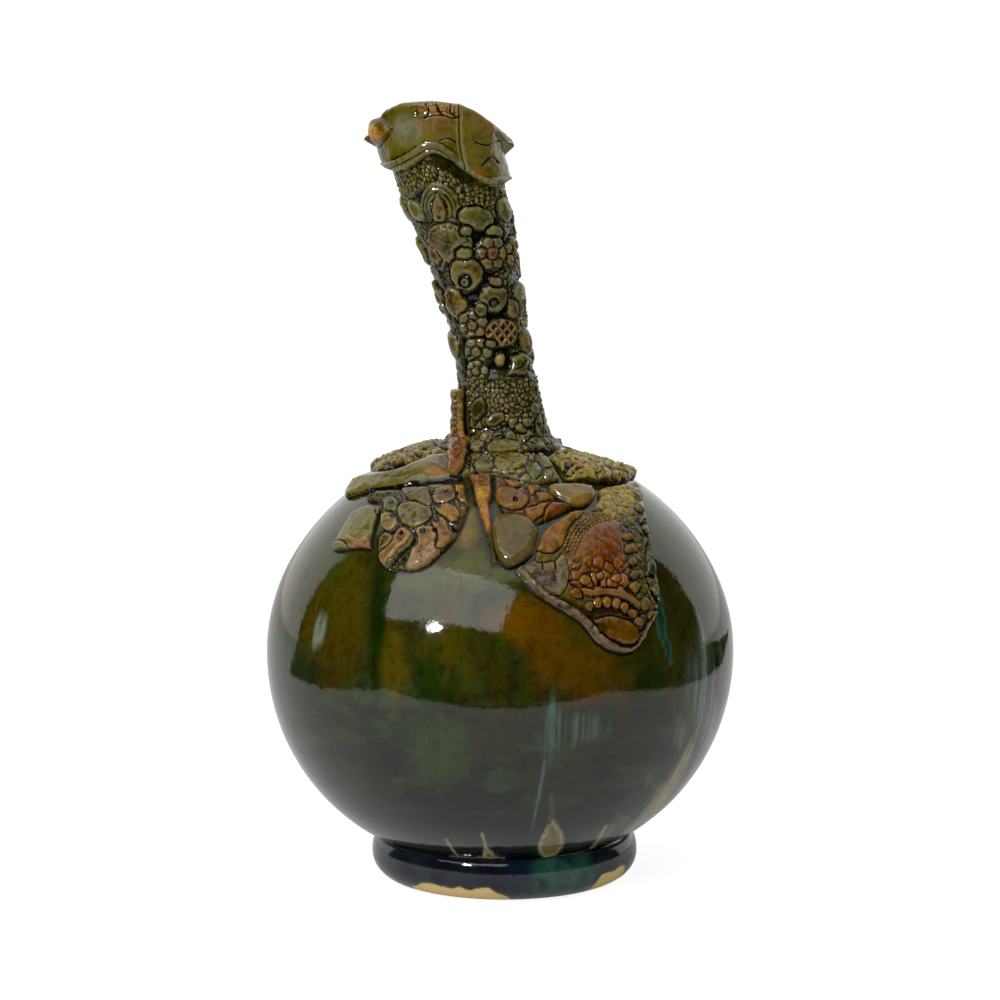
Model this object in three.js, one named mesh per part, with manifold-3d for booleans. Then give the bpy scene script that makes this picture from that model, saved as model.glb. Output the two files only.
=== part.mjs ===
// A stoneware bottle vase: a thrown globe on a foot ring, a leaning neck rolled from clay slabs,
// and torn, lace-pressed slabs of clay luted over the shoulder, neck and mouth.
// Millimetres, +Z up, front towards -Y. The origin is under the globe's axis, on the surface it stands on.
// An azimuth is in degrees round the vase: 0 at the front, 90 at the right, -90 at the left.
// A reach is the distance in millimetres from the globe's crown, measured down over its skin.
// A fall is the same distance measured from the edge of the neck's skirt.
import * as THREE from "three";
import Module from "manifold-3d";
import { mergeVertices } from "three/addons/utils/BufferGeometryUtils.js";

// Globe
const GLOBE_RADIUS = 111.3;
const GLOBE_RISE = 100.9; // from the equator to the crown, if the skin closed there
const GLOBE_DROP = 101.4; // from the equator to the lowest point, if the skin closed there
const SHOULDER_SHARPNESS = 1.07; // 1 is an ellipse, more is flatter between equator and crown
const BELLY_SHARPNESS = 0.88; // less is fuller between equator and foot
const GLOBE_WALL = 6;
const GLOBE_BASE_RADIUS = 40; // the flat inside floor and the cut base under it
const THROAT_STEP = 2; // the globe's throat is this much narrower than the neck's bore

// Foot
const FOOT_SHIFT = 2.1; // the ring was luted a little to the right
const FOOT_HEIGHT = 21.3; // from the standing face to the seat's outer edge
const FOOT_RADIUS = 63.8;
const FOOT_FULLEST_Z = 12.5;
const FOOT_SEAT_RADIUS = 60; // where the ring's top meets the globe
const FOOT_STANDING_RADIUS = 51;
const FOOT_INNER_RADIUS = 42;

// Neck: a lean is how far its centre has moved to the left of the globe's axis
const NECK_LENGTH = 163.2; // from where it leaves the crown to the lip's front crest
const NECK_BASE_RADIUS = 22.6;
const NECK_BASE_LEAN = -3;
const NECK_WAIST = { along: 0.25, radius: 18.4, lean: 3 };
const NECK_MIDDLE = { along: 0.48, radius: 20.4, lean: 11 };
const NECK_SWELL = { along: 0.72, radius: 25, lean: 21.3 };
const NECK_TOP = { along: 0.86, radius: 26, lean: 27.9 };
const MOUTH_RADIUS = 26;
const MOUTH_LEAN = 28.8;
const LOWER_SLEEVE_HEIGHT = 33; // above the crown, where the upper sleeve sits on the lower one
const NECK_SKIRT_RADIUS = 29; // the foot of the lower sleeve, spread over the shoulder
const NECK_SKIRT_EDGE = 3; // thickness of that foot at its edge
const NECK_WALL = 5;
const NECK_FLAT_CLEARANCE = 0.2; // extra room behind a piece whose flat facets bridge the round neck

// Lip
const LIP_DIP_RIGHT = 21; // the lip falls this far from its front crest to its right corner
const LIP_DIP_LEFT = 17;
const LIP_DIP_LEFT_POWER = 1.8; // more keeps the lip high for longer before it falls
const LIP_DROP_BACK = 5;

// Applied slabs
const SEAM = 0.3; // the slip joint between two pieces of clay
const SLAB = 3.2; // thickness of a shoulder slab
const PRESSED_EDGE = 0.55; // share of a slab's thickness left at a pressed edge
const ROLLED_EDGE = 1.35; // a rolled edge is thicker than the slab inside it
const FEATHERED = 0.4; // share left where a slab is smoothed onto the neck's foot
const FOLD = 4.6; // thickness of a folded slab
const SWELL = 1.2; // a slab that has bellied out swells this much in its middle
const DOME_RISE = 1.2; // the flowers and petals pressed into the upper sleeve stand this far out
const DOME_EDGE = 0.5; // share of a dome's half width over which it rises
const STRAP_TOP_DROP = 6; // the strap stops this far below the neck's joint
const BAND = 3.2; // thickness of the plain band round the mouth
const BUD = 1.8; // thickness of the bud's edge on the band
const BUD_CROWN = 2.6;
const BAND_STAND = 1; // the band stands this far above the neck's own edge
const CORNER_AZIMUTH = 92; // the band's right corner
const CORNER_FLARE = 5.6; // the corner curls out this far
const CORNER_WIDTH = 20; // degrees round the neck over which it curls
const CORNER_DEPTH = 6; // millimetres below the lip over which it curls

// Fineness of the meshes
const TURNED_SIDES = 48;
const NECK_SIDES = 32;
const PRESSED_SIDES = 60; // round the upper sleeve, fine enough for its domes
const SLAB_STEP = 6; // millimetres between the points of a slab

const COLOURS = {
  globe: 0x3b3a16,
  foot: 0x14202a,
  lace: 0x5a5a2e,
  amber: 0x7a4718,
  smooth: 0x67664a,
};

function glazed(colour) {
  return new THREE.MeshStandardMaterial({ color: colour, roughness: 0.12, metalness: 0 });
}

function piece(name, geometry, colour) {
  const mesh = new THREE.Mesh(geometry, glazed(colour));
  mesh.name = name;
  return mesh;
}

// Solid cuts

const solids = await Module();
solids.setup();

function solidOf(geometry) {
  const bare = new THREE.BufferGeometry().setAttribute("position", geometry.getAttribute("position"));
  if (geometry.index) bare.setIndex(geometry.index);
  const merged = mergeVertices(bare, 1e-3);
  return new solids.Manifold(
    new solids.Mesh({
      numProp: 3,
      vertProperties: new Float32Array(merged.attributes.position.array),
      triVerts: new Uint32Array(merged.index.array),
    }),
  );
}

function cut(geometry, tool) {
  const left = solidOf(geometry).subtract(solidOf(tool)).getMesh();
  return new THREE.BufferGeometry()
    .setAttribute("position", new THREE.Float32BufferAttribute(left.vertProperties, 3))
    .setIndex(Array.from(left.triVerts));
}

// Turned forms

// The globe rests on the foot ring's seat.
const seatTurn = Math.acos((FOOT_SEAT_RADIUS / GLOBE_RADIUS) ** (1 / BELLY_SHARPNESS));
const equatorZ = FOOT_HEIGHT + GLOBE_DROP * Math.sin(seatTurn);

// The globe's skin at a share of the way round its profile: -1 is the lowest point, 0 the equator, 1 the crown.
function globeSkin(share, inset = 0) {
  const upper = share >= 0;
  const turn = (Math.abs(share) * Math.PI) / 2;
  const sharpness = upper ? SHOULDER_SHARPNESS : BELLY_SHARPNESS;
  const radius = (GLOBE_RADIUS - inset) * Math.cos(turn) ** sharpness;
  const height = upper ? GLOBE_RISE - inset : inset - GLOBE_DROP;
  return new THREE.Vector2(radius, equatorZ + height * Math.sin(turn));
}

// The share of the profile, above or below the equator, where the skin has this radius.
function shareAtRadius(radius, upper, inset = 0) {
  const sharpness = upper ? SHOULDER_SHARPNESS : BELLY_SHARPNESS;
  const cosine = (radius / (GLOBE_RADIUS - inset)) ** (1 / sharpness);
  const share = Math.acos(Math.min(1, cosine)) / (Math.PI / 2);
  return upper ? share : -share;
}

function skinPoints(from, to, count, inset = 0) {
  return Array.from({ length: count + 1 }, (_, i) => globeSkin(from + ((to - from) * i) / count, inset));
}

// Turns a profile of radii and heights about the vertical axis.
function lathe(profile) {
  return new THREE.LatheGeometry(profile, TURNED_SIDES).rotateX(Math.PI / 2);
}

// The throat is a step narrower than the neck's bore where the neck starts.
const throatRadius = NECK_BASE_RADIUS - NECK_WALL - THROAT_STEP;

function globeBody() {
  const base = shareAtRadius(GLOBE_BASE_RADIUS, false);
  const top = shareAtRadius(throatRadius, true);
  const innerTop = shareAtRadius(throatRadius, true, GLOBE_WALL);
  const innerBase = shareAtRadius(GLOBE_BASE_RADIUS, false, GLOBE_WALL);
  const outside = skinPoints(base, top, 18);
  const inside = skinPoints(innerTop, innerBase, 14, GLOBE_WALL);
  const baseZ = outside[0].y;
  const floorZ = inside[inside.length - 1].y;
  const axisBase = new THREE.Vector2(0, baseZ);
  const axisFloor = new THREE.Vector2(0, floorZ);
  return lathe([axisBase, ...outside, ...inside, axisFloor]);
}

// A rolled ring with a flat standing face, a full rounded outside and a seat cut to the globe. The outside is
// two quarters of an ellipse, below and above its fullest height.
function footRing() {
  const seatShare = shareAtRadius(FOOT_SEAT_RADIUS, false);
  const innerSeatShare = shareAtRadius(FOOT_INNER_RADIUS, false);
  const seat = skinPoints(seatShare, innerSeatShare, 4).map((p) => new THREE.Vector2(p.x, p.y - SEAM));
  const quarterSteps = 6;
  const quarter = (endRadius, endZ, i) => {
    const turn = ((i / quarterSteps) * Math.PI) / 2;
    const radius = THREE.MathUtils.lerp(endRadius, FOOT_RADIUS, Math.cos(turn));
    return new THREE.Vector2(radius, THREE.MathUtils.lerp(FOOT_FULLEST_Z, endZ, Math.sin(turn)));
  };
  const steps = Array.from({ length: quarterSteps }, (_, i) => i);
  const lowerRound = steps.map((i) => quarter(FOOT_STANDING_RADIUS, 0, quarterSteps - i));
  const upperRound = steps.map((i) => quarter(FOOT_SEAT_RADIUS, seat[0].y, i));
  const innerEdge = new THREE.Vector2(FOOT_INNER_RADIUS, 0);
  const ring = lathe([innerEdge, ...lowerRound, ...upperRound, ...seat, innerEdge]).translate(FOOT_SHIFT, 0, 0);
  return cut(ring, lathe([...skinPoints(-1, 0, 20, -SEAM), new THREE.Vector2(0, equatorZ)]));
}

// Surfaces that the slabs lie on: each gives the point a given distance out from the clay below.

const reachTable = (() => {
  const steps = 400;
  const points = skinPoints(1, -1, steps);
  const reaches = [0];
  for (let i = 1; i <= steps; i++) reaches.push(reaches[i - 1] + points[i].distanceTo(points[i - 1]));
  return { points, reaches };
})();

function aroundAxis(azimuth, radius, z, centreX = 0) {
  const turn = THREE.MathUtils.degToRad(azimuth);
  return new THREE.Vector3(centreX + radius * Math.sin(turn), -radius * Math.cos(turn), z);
}

function onGlobe(azimuth, reach, out) {
  const { points, reaches } = reachTable;
  const found = reaches.findIndex((r) => r > reach);
  const after = Math.max(1, found);
  const part = (reach - reaches[after - 1]) / (reaches[after] - reaches[after - 1]);
  const spot = points[after - 1].clone().lerp(points[after], part);
  const along = points[after].clone().sub(points[after - 1]).normalize();
  return aroundAxis(azimuth, spot.x - along.y * out, spot.y + along.x * out);
}

// Reach of the skin at a radius, measured on the shoulder.
function reachAtRadius(radius) {
  const { points, reaches } = reachTable;
  return reaches[points.findIndex((p) => p.x >= radius)];
}

const skirtReach = reachAtRadius(NECK_SKIRT_RADIUS);

function onShoulder(azimuth, fall, out) {
  return onGlobe(azimuth, skirtReach + fall, out);
}

const crownZ = globeSkin(shareAtRadius(NECK_BASE_RADIUS, true)).y;
const mouthZ = crownZ + NECK_LENGTH;
const neckJointZ = crownZ + LOWER_SLEEVE_HEIGHT;

// The neck's radius and lean, each as a smooth curve over its height
function neckCurve(key) {
  const stations = [
    { along: 0, radius: NECK_BASE_RADIUS, lean: NECK_BASE_LEAN },
    NECK_WAIST,
    NECK_MIDDLE,
    NECK_SWELL,
    NECK_TOP,
    { along: 1, radius: MOUTH_RADIUS, lean: MOUTH_LEAN },
  ];
  const points = stations.map((station) => new THREE.Vector2(crownZ + NECK_LENGTH * station.along, station[key]));
  return new THREE.SplineCurve(points).getPoints(120);
}

const neckRadii = neckCurve("radius");
const neckLeans = neckCurve("lean");

function valueAt(points, z) {
  const held = THREE.MathUtils.clamp(z, crownZ, mouthZ);
  const after = Math.max(1, points.findIndex((p) => p.x >= held));
  const [low, high] = [points[after - 1], points[after]];
  return THREE.MathUtils.mapLinear(held, low.x, high.x, low.y, high.y);
}

function neckRadius(z) {
  return valueAt(neckRadii, z);
}

function neckCentre(z) {
  return -valueAt(neckLeans, z);
}

function onNeck(azimuth, z, out) {
  return aroundAxis(azimuth, neckRadius(z) + out, z, neckCentre(z));
}

function onNeckFacets(azimuth, z, out) {
  return onNeck(azimuth, z, NECK_FLAT_CLEARANCE + out);
}

// The lip is a saddle: high at the front and back, falling to a corner at each side.
function lipZ(azimuth) {
  const cosine = Math.cos(THREE.MathUtils.degToRad(azimuth));
  const aside = 1 - Math.abs(cosine);
  const right = Math.sin(THREE.MathUtils.degToRad(azimuth)) > 0;
  const dip = right ? LIP_DIP_RIGHT * aside : LIP_DIP_LEFT * aside ** LIP_DIP_LEFT_POWER;
  const back = cosine < 0 ? LIP_DROP_BACK * cosine * cosine : 0;
  return mouthZ - dip - back;
}

// Formed slabs

// A closed sheet between an outer and an inner skin, each given at shares u, left to right, and v, low to high.
// It wraps into a tube when wraps is true.
function sheet(columns, rows, outer, inner, wraps = false) {
  const across = wraps ? columns : columns + 1;
  const up = rows + 1;
  const positions = [];
  for (const skin of [outer, inner]) {
    for (let i = 0; i < across; i++) {
      for (let j = 0; j < up; j++) positions.push(...skin(i / columns, j / rows).toArray());
    }
  }
  const at = (side, i, j) => (side * across + (i % across)) * up + j;
  const faces = [];
  const quad = (a, b, c, d) => faces.push(a, b, c, a, c, d);
  for (let i = 0; i < columns; i++) {
    for (let j = 0; j < rows; j++) {
      quad(at(0, i, j), at(0, i + 1, j), at(0, i + 1, j + 1), at(0, i, j + 1));
      quad(at(1, i, j), at(1, i, j + 1), at(1, i + 1, j + 1), at(1, i + 1, j));
    }
    quad(at(0, i, 0), at(1, i, 0), at(1, i + 1, 0), at(0, i + 1, 0));
    quad(at(0, i, rows), at(0, i + 1, rows), at(1, i + 1, rows), at(1, i, rows));
  }
  for (let j = 0; j < rows && !wraps; j++) {
    quad(at(0, 0, j), at(0, 0, j + 1), at(1, 0, j + 1), at(1, 0, j));
    quad(at(0, columns, j), at(1, columns, j), at(1, columns, j + 1), at(0, columns, j + 1));
  }
  return new THREE.BufferGeometry()
    .setAttribute("position", new THREE.Float32BufferAttribute(positions, 3))
    .setIndex(faces);
}

function smooth(x) {
  return THREE.MathUtils.smoothstep(x, 0, 1);
}

// A slab lies between a lower and an upper edge, each a smooth curve through [azimuth, reach or height] points
// listed from left to right. Edge is the share of its thickness left at the edges all round, and taper the share
// left along the upper edge. Crown makes it swell in the middle, and lift raises it from the clay below.
function slab({
  surface,
  lower,
  upper,
  thickness = SLAB,
  edge = PRESSED_EDGE,
  taper = 1,
  crown = 0,
  lift = () => 0,
  rimWidth = 0.18,
}) {
  const curve = (points) => new THREE.SplineCurve(points.map(([a, b]) => new THREE.Vector2(a, b)));
  const [low, high] = [curve(lower), curve(upper)];
  const spot = (u, v) => low.getPointAt(u).lerp(high.getPointAt(u), v);
  const place = (u, v, out) => {
    const { x, y } = spot(u, v);
    return surface(x, y, SEAM + lift(x, y) + out);
  };
  const size = (a, b) => place(...a, 0).distanceTo(place(...b, 0));
  const width = size([0, 0.5], [0.5, 0.5]) + size([0.5, 0.5], [1, 0.5]);
  const depth = Math.max(...[0.25, 0.5, 0.75].map((u) => size([u, 0], [u, 1])));
  const columns = Math.max(4, Math.ceil(width / SLAB_STEP));
  const rows = Math.max(3, Math.ceil(depth / SLAB_STEP));
  const rim = (x) => smooth(Math.min(x, 1 - x) / rimWidth);
  const dome = (u, v) => Math.sqrt(Math.max(0, Math.sin(Math.PI * u) * Math.sin(Math.PI * v)));
  const body = (u, v) => thickness * (edge + (1 - edge) * rim(u) * rim(v)) * THREE.MathUtils.lerp(1, taper, v);
  const fullness = (u, v) => body(u, v) + crown * dome(u, v);
  return sheet(columns, rows, (u, v) => place(u, v, fullness(u, v)), (u, v) => place(u, v, 0));
}

// Neck

// The lower sleeve rises from a skirt spread over the crown, and its bore lines up with the globe's throat.
function neckLowerSleeve() {
  const baseReach = reachAtRadius(NECK_BASE_RADIUS);
  const throatReach = reachAtRadius(throatRadius);
  const boreBaseZ = onGlobe(0, throatReach, SEAM).z;
  const skirtRows = 3;
  const wallRows = 6;
  const rows = skirtRows + wallRows;
  const bore = (z) => neckRadius(z) - NECK_WALL;
  const outer = (u, v) => {
    const azimuth = u * 360;
    const row = v * rows;
    if (row < skirtRows) {
      const share = row / skirtRows;
      const reach = THREE.MathUtils.lerp(skirtReach, baseReach, share);
      return onGlobe(azimuth, reach, SEAM + NECK_SKIRT_EDGE * (1 + share * share));
    }
    const foot = onGlobe(azimuth, baseReach, SEAM + 2 * NECK_SKIRT_EDGE).z;
    const z = THREE.MathUtils.lerp(foot, neckJointZ, (row - skirtRows) / wallRows);
    return onNeck(azimuth, z, 0);
  };
  const inner = (u, v) => {
    const azimuth = u * 360;
    const row = v * rows;
    if (row < skirtRows) {
      return onGlobe(azimuth, THREE.MathUtils.lerp(skirtReach, throatReach, row / skirtRows), SEAM);
    }
    const share = (row - skirtRows) / wallRows;
    const z = THREE.MathUtils.lerp(boreBaseZ, neckJointZ, share);
    const widened = Math.min(1, 2 * share);
    const radius = THREE.MathUtils.lerp(throatRadius, bore(z), widened);
    return aroundAxis(azimuth, radius, z, neckCentre(z) * widened);
  };
  return sheet(NECK_SIDES, rows, outer, inner, true);
}

// The main flowers, petals and domes on the upper sleeve, each as
// [azimuth, height above the crown, half width, half height]
const neckDomes = [
  [-54, 112, 5, 6],
  [-19, 114, 7.4, 9.4],
  [21, 109, 9.4, 5.6],
  [41, 102, 5.4, 3.6],
  [-22, 97.4, 11.5, 9.4],
  [-48, 91.6, 4.6, 5.2],
  [30, 92.4, 8.4, 8.4],
  [-10, 83, 8, 7],
  [42, 80.5, 6, 4],
  [20, 71.5, 7.2, 7],
  [-40, 68.4, 6.4, 9.2],
  [-19.5, 58.6, 7.4, 7.4],
  [22, 55, 7.8, 6.4],
  [-22, 46, 7.2, 7.2],
  [44, 40, 9, 5],
  [68, 112, 8, 6],
  [70, 92, 8, 8],
  [78, 70, 8.5, 8.5],
  [72, 50, 7, 7],
  [104, 104, 8.5, 8.5],
  [112, 84, 7, 9],
  [118, 60, 9, 7],
  [108, 43, 7, 6],
  [148, 110, 9, 8],
  [150, 88, 9, 9],
  [156, 64, 8, 9],
  [150, 44, 8, 6],
  [-172, 98, 8, 9],
  [-168, 76, 8, 8],
  [-170, 52, 9, 9],
  [-134, 108, 9, 8],
  [-132, 86, 8, 9],
  [-128, 62, 8.5, 8.5],
  [-126, 43, 8, 6],
  [-94, 112, 8, 7],
  [-90, 92, 7, 8],
  [-84, 70, 8.5, 8.5],
  [-78, 48, 7, 7],
];

function neckDome(azimuth, z) {
  const fullness = ([centre, height, halfWidth, halfHeight]) => {
    const turn = THREE.MathUtils.euclideanModulo(azimuth - centre + 180, 360) - 180;
    const across = (THREE.MathUtils.degToRad(turn) * neckRadius(z)) / halfWidth;
    const up = (z - crownZ - height) / halfHeight;
    return smooth((1 - Math.hypot(across, up)) / DOME_EDGE);
  };
  return DOME_RISE * Math.max(...neckDomes.map(fullness));
}

function neckUpperSleeve() {
  const rows = 36;
  const place = (u, v) => {
    const azimuth = u * 360;
    return [azimuth, THREE.MathUtils.lerp(neckJointZ + SEAM, lipZ(azimuth) - BAND_STAND, v)];
  };
  const outer = (u, v) => onNeck(...place(u, v), neckDome(...place(u, v)));
  const inner = (u, v) => onNeck(...place(u, v), -NECK_WALL);
  return sheet(PRESSED_SIDES, rows, outer, inner, true);
}

// One length of the plain band round the mouth. Its lower edge waves, at the given depths below the mouth.
function rimBand(from, to, depths) {
  const last = depths.length - 1;
  const lower = depths.map((depth, i) => [THREE.MathUtils.lerp(from, to, i / last), mouthZ - depth]);
  const lipSteps = 10;
  const upper = Array.from({ length: lipSteps + 1 }, (_, i) => {
    const azimuth = THREE.MathUtils.lerp(from, to, i / lipSteps);
    return [azimuth, lipZ(azimuth)];
  });
  return slab({ surface: onNeckFacets, lower, upper, thickness: BAND, lift: curl, rimWidth: 0.1 });
}

// How far the band's right corner curls out from the neck
function curl(azimuth, z) {
  const aside = (azimuth - CORNER_AZIMUTH) / CORNER_WIDTH;
  const below = (lipZ(azimuth) - z) / CORNER_DEPTH;
  return CORNER_FLARE * Math.exp(-aside * aside) * smooth(1 - Math.min(1, below));
}

const mouthSlabs = {
  rim_band_left: rimBand(-176, 19, [32, 29, 33, 29, 31, 33, 30, 24, 32]),
  rim_band_right: rimBand(21, 180, [33, 40, 38, 36, 33, 30, 32]),
};

// The bud lies on the left end of the band, at the given depths below the mouth.
function rimBud() {
  const below = (points) => points.map(([azimuth, depth]) => [azimuth, mouthZ - depth]);
  return slab({
    surface: (azimuth, z, out) => onNeckFacets(azimuth, z, SEAM + BAND + NECK_FLAT_CLEARANCE + out),
    lower: below([[-94, 21], [-72, 19], [-48, 16]]),
    upper: below([[-92, 18], [-72, 11], [-50, 9]]),
    thickness: BUD,
    crown: BUD_CROWN,
  });
}

// Where each shoulder slab lies, as [azimuth, fall] points from left to right
const shoulderSlabs = {
  front_skirt_slab: {
    lower: [[-20, 23], [-13, 19], [-2, 19], [8, 25], [16, 28], [31, 26]],
    upper: [[-36, 3], [-10, 1.5], [10, 1.5], [36, 3]],
    colour: COLOURS.lace,
  },
  left_fold: {
    lower: [[-92, 50], [-77, 50], [-68, 42], [-56, 37], [-43, 32], [-33, 28], [-21, 25]],
    upper: [[-93, 41], [-84, 36], [-75, 30], [-62, 24], [-48, 17], [-41, 3]],
    crown: SWELL,
    colour: COLOURS.smooth,
  },
  left_back_slab: {
    lower: [[-128, 30], [-107, 36], [-86, 32], [-74, 26], [-60, 20], [-49, 12]],
    upper: [[-128, 3], [-107, 3], [-84, 2], [-66, 2], [-49, 2]],
    thickness: FOLD,
    taper: FEATHERED,
    colour: COLOURS.lace,
  },
  medallion_slab: {
    lower: [[-60, 47], [-49, 47], [-45, 54], [-39, 68], [-35, 79], [-27, 82], [-20, 77], [-14, 62], [-12, 44]],
    upper: [[-62, 43], [-45, 37], [-36, 34], [-26, 31], [-16, 31]],
    colour: COLOURS.lace,
  },
  leaf_tab: {
    lower: [[-56, 77], [-47, 73], [-41, 72]],
    upper: [[-60, 56], [-56, 50], [-48, 50]],
    colour: COLOURS.smooth,
  },
  centre_strip: {
    lower: [[-16.5, 21.5], [-12, 31], [-8.3, 44], [-4.8, 59], [-2, 76]],
    upper: [[-5, 21.5], [-4, 32], [-4, 44], [-2.6, 56], [-0.6, 76]],
    colour: COLOURS.amber,
  },
  centre_petal: {
    lower: [[-1, 66], [1, 75.5], [4.5, 77], [9, 72.5]],
    upper: [[-0.5, 56], [1.5, 52], [6, 51.5], [11.5, 58]],
    thickness: FOLD,
    colour: COLOURS.smooth,
  },
  centre_lace_slab: {
    lower: [[-2, 36], [1, 47], [7, 49], [13, 53.5], [20, 50], [27, 47]],
    upper: [[-2.5, 21.5], [7, 27.5], [15, 30.5], [20, 35], [22.5, 42], [26.5, 46]],
    colour: COLOURS.amber,
  },
  shoulder_roll: {
    lower: [[21.5, 35], [25, 41.5], [29, 45.5], [35, 45], [42, 40.5]],
    upper: [[22, 31], [30, 30.5], [38, 31.5], [44, 34.5]],
    thickness: FOLD,
    colour: COLOURS.smooth,
  },
  right_lappet: {
    lower: [[4.5, 80], [9.5, 91], [13, 96], [20, 105], [23.5, 114], [28, 119.5], [33, 119.5], [38, 111], [43, 101],
      [46, 88], [49.5, 73], [56, 59], [64, 50], [75, 43]],
    upper: [[4.8, 78.5], [9.2, 75], [11, 68], [14, 60], [19, 55], [28, 49], [35, 48], [42, 43], [47, 37], [62, 37],
      [75, 38]],
    edge: ROLLED_EDGE,
    colour: COLOURS.amber,
  },
  right_collar_slab: {
    lower: [[34, 27], [41, 29], [50, 31], [68, 35], [82, 35], [100, 39]],
    upper: [[40, 6], [54, 2], [66, 3], [80, 15], [90, 26], [100, 32]],
    thickness: FOLD,
    taper: FEATHERED,
    colour: COLOURS.lace,
  },
  back_left_slab: {
    lower: [[-178, 46], [-166, 60], [-150, 54], [-131, 32]],
    upper: [[-178, 2], [-166, 2], [-150, 2], [-131, 2]],
    taper: FEATHERED,
    colour: COLOURS.lace,
  },
  back_right_slab: {
    lower: [[106, 39], [122, 36], [140, 44], [162, 52], [179, 44]],
    upper: [[106, 32], [118, 22], [132, 8], [146, 2], [162, 2], [179, 2]],
    taper: FEATHERED,
    colour: COLOURS.lace,
  },
};

// The strap stands against the neck's left side, from the skirt up to just under the joint.
function uprightStrap() {
  const footZ = onGlobe(0, reachAtRadius(NECK_BASE_RADIUS), 2 * (SEAM + NECK_SKIRT_EDGE)).z;
  const topZ = neckJointZ - STRAP_TOP_DROP;
  return slab({
    surface: onNeckFacets,
    lower: [[-94, footZ], [-70, footZ], [-44, footZ]],
    upper: [[-92, topZ - 3], [-72, topZ], [-48, topZ - 2]],
    thickness: FOLD,
  });
}

const vase = new THREE.Group();
vase.add(piece("foot_ring", footRing(), COLOURS.foot));
vase.add(piece("globe_body", globeBody(), COLOURS.globe));
vase.add(piece("neck_lower_sleeve", neckLowerSleeve(), COLOURS.lace));
vase.add(piece("neck_upper_sleeve", neckUpperSleeve(), COLOURS.lace));
for (const [name, geometry] of Object.entries(mouthSlabs)) vase.add(piece(name, geometry, COLOURS.smooth));
vase.add(piece("rim_bud", rimBud(), COLOURS.amber));
vase.add(piece("upright_strap", uprightStrap(), COLOURS.amber));
for (const [name, { colour, ...shape }] of Object.entries(shoulderSlabs)) {
  vase.add(piece(name, slab({ surface: onShoulder, ...shape }), colour));
}

export default vase;
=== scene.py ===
import math

import bpy
import numpy as np
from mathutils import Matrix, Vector


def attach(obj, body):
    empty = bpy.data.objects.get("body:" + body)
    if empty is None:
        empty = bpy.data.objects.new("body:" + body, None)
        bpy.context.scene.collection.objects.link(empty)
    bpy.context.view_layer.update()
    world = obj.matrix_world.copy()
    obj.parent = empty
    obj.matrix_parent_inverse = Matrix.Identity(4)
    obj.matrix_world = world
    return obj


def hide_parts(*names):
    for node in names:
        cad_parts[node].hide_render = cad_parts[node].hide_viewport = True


# Dresses the stoneware bottle vase: lace-pressed slabs, streaked glaze, drips, bare clay, floor and lamps.
# Lengths are in millimetres until a piece is made. An azimuth is in degrees round the vase, 0 at the front
# and 90 at the right. A reach is the distance from the globe's crown, measured down over its skin.

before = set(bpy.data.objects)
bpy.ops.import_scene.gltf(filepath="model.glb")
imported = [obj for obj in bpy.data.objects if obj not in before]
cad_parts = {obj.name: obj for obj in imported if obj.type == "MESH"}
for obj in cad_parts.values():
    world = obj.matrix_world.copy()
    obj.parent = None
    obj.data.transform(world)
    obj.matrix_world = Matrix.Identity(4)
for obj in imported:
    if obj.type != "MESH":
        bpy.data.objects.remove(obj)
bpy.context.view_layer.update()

# Sizes of the model, as its source has them
GLOBE_RADIUS = 111.3
GLOBE_RISE = 100.9
GLOBE_DROP = 101.4
SHOULDER_SHARPNESS = 1.07
BELLY_SHARPNESS = 0.88
GLOBE_WALL = 6
GLOBE_BASE_RADIUS = 40
FOOT_SHIFT = 2.1
FOOT_HEIGHT = 21.3
FOOT_RADIUS = 63.8
FOOT_FULLEST_Z = 12.5
FOOT_SEAT_RADIUS = 60
FOOT_STANDING_RADIUS = 51
FOOT_INNER_RADIUS = 42
NECK_LENGTH = 163.2
NECK_BASE_RADIUS = 22.6
NECK_STATIONS = [
    (0, NECK_BASE_RADIUS, -3),
    (0.25, 18.4, 3),
    (0.48, 20.4, 11),
    (0.72, 25, 21.3),
    (0.86, 26, 27.9),
    (1, 26, 28.8),
]  # share of the length, radius, and how far the centre has moved to the left
NECK_WALL = 5
THROAT_RADIUS = NECK_BASE_RADIUS - NECK_WALL - 2
LOWER_SLEEVE_HEIGHT = 33
SKIRT_RADIUS = 29
SKIRT_EDGE = 3
LIP_DIP_RIGHT = 21
LIP_DIP_LEFT = 17
LIP_DIP_LEFT_POWER = 1.8
LIP_DROP_BACK = 5
BAND = 3.2
SLAB = 3.2
FOLD = 4.6
CORNER_AZIMUTH = 92
CORNER_FLARE = 5.6
CORNER_WIDTH = 20
CORNER_DEPTH = 6

# Columns and rows of the grids that go right round the vase
GLOBE_GRID = (410, 216)
FOOT_GRID = (360, 54)
LOWER_SLEEVE_GRID = (330, 118)
UPPER_SLEEVE_GRID = (330, 272)

SEAT = 0.12  # a visual piece lies this far above the clay below it
METRES = 0.001

# The photograph's view: places in it are across and down, in pixels of its 1000 by 1000
VIEW_FOCAL = 3723
VIEW_MIDDLE = 500
VIEW_MM = 0.478  # millimetres to a pixel at the vase
CAMERA_Y = -1750
CAMERA_Z = 438.7
CAMERA_DROP = 8.365  # degrees that the view points down


def linear(red, green, blue):
    """A colour given in 0 to 255, as the shaders take it."""
    shares = np.array([red, green, blue]) / 255
    return np.where(shares > 0.04045, ((shares + 0.055) / 1.055) ** 2.4, shares / 12.92)


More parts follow.
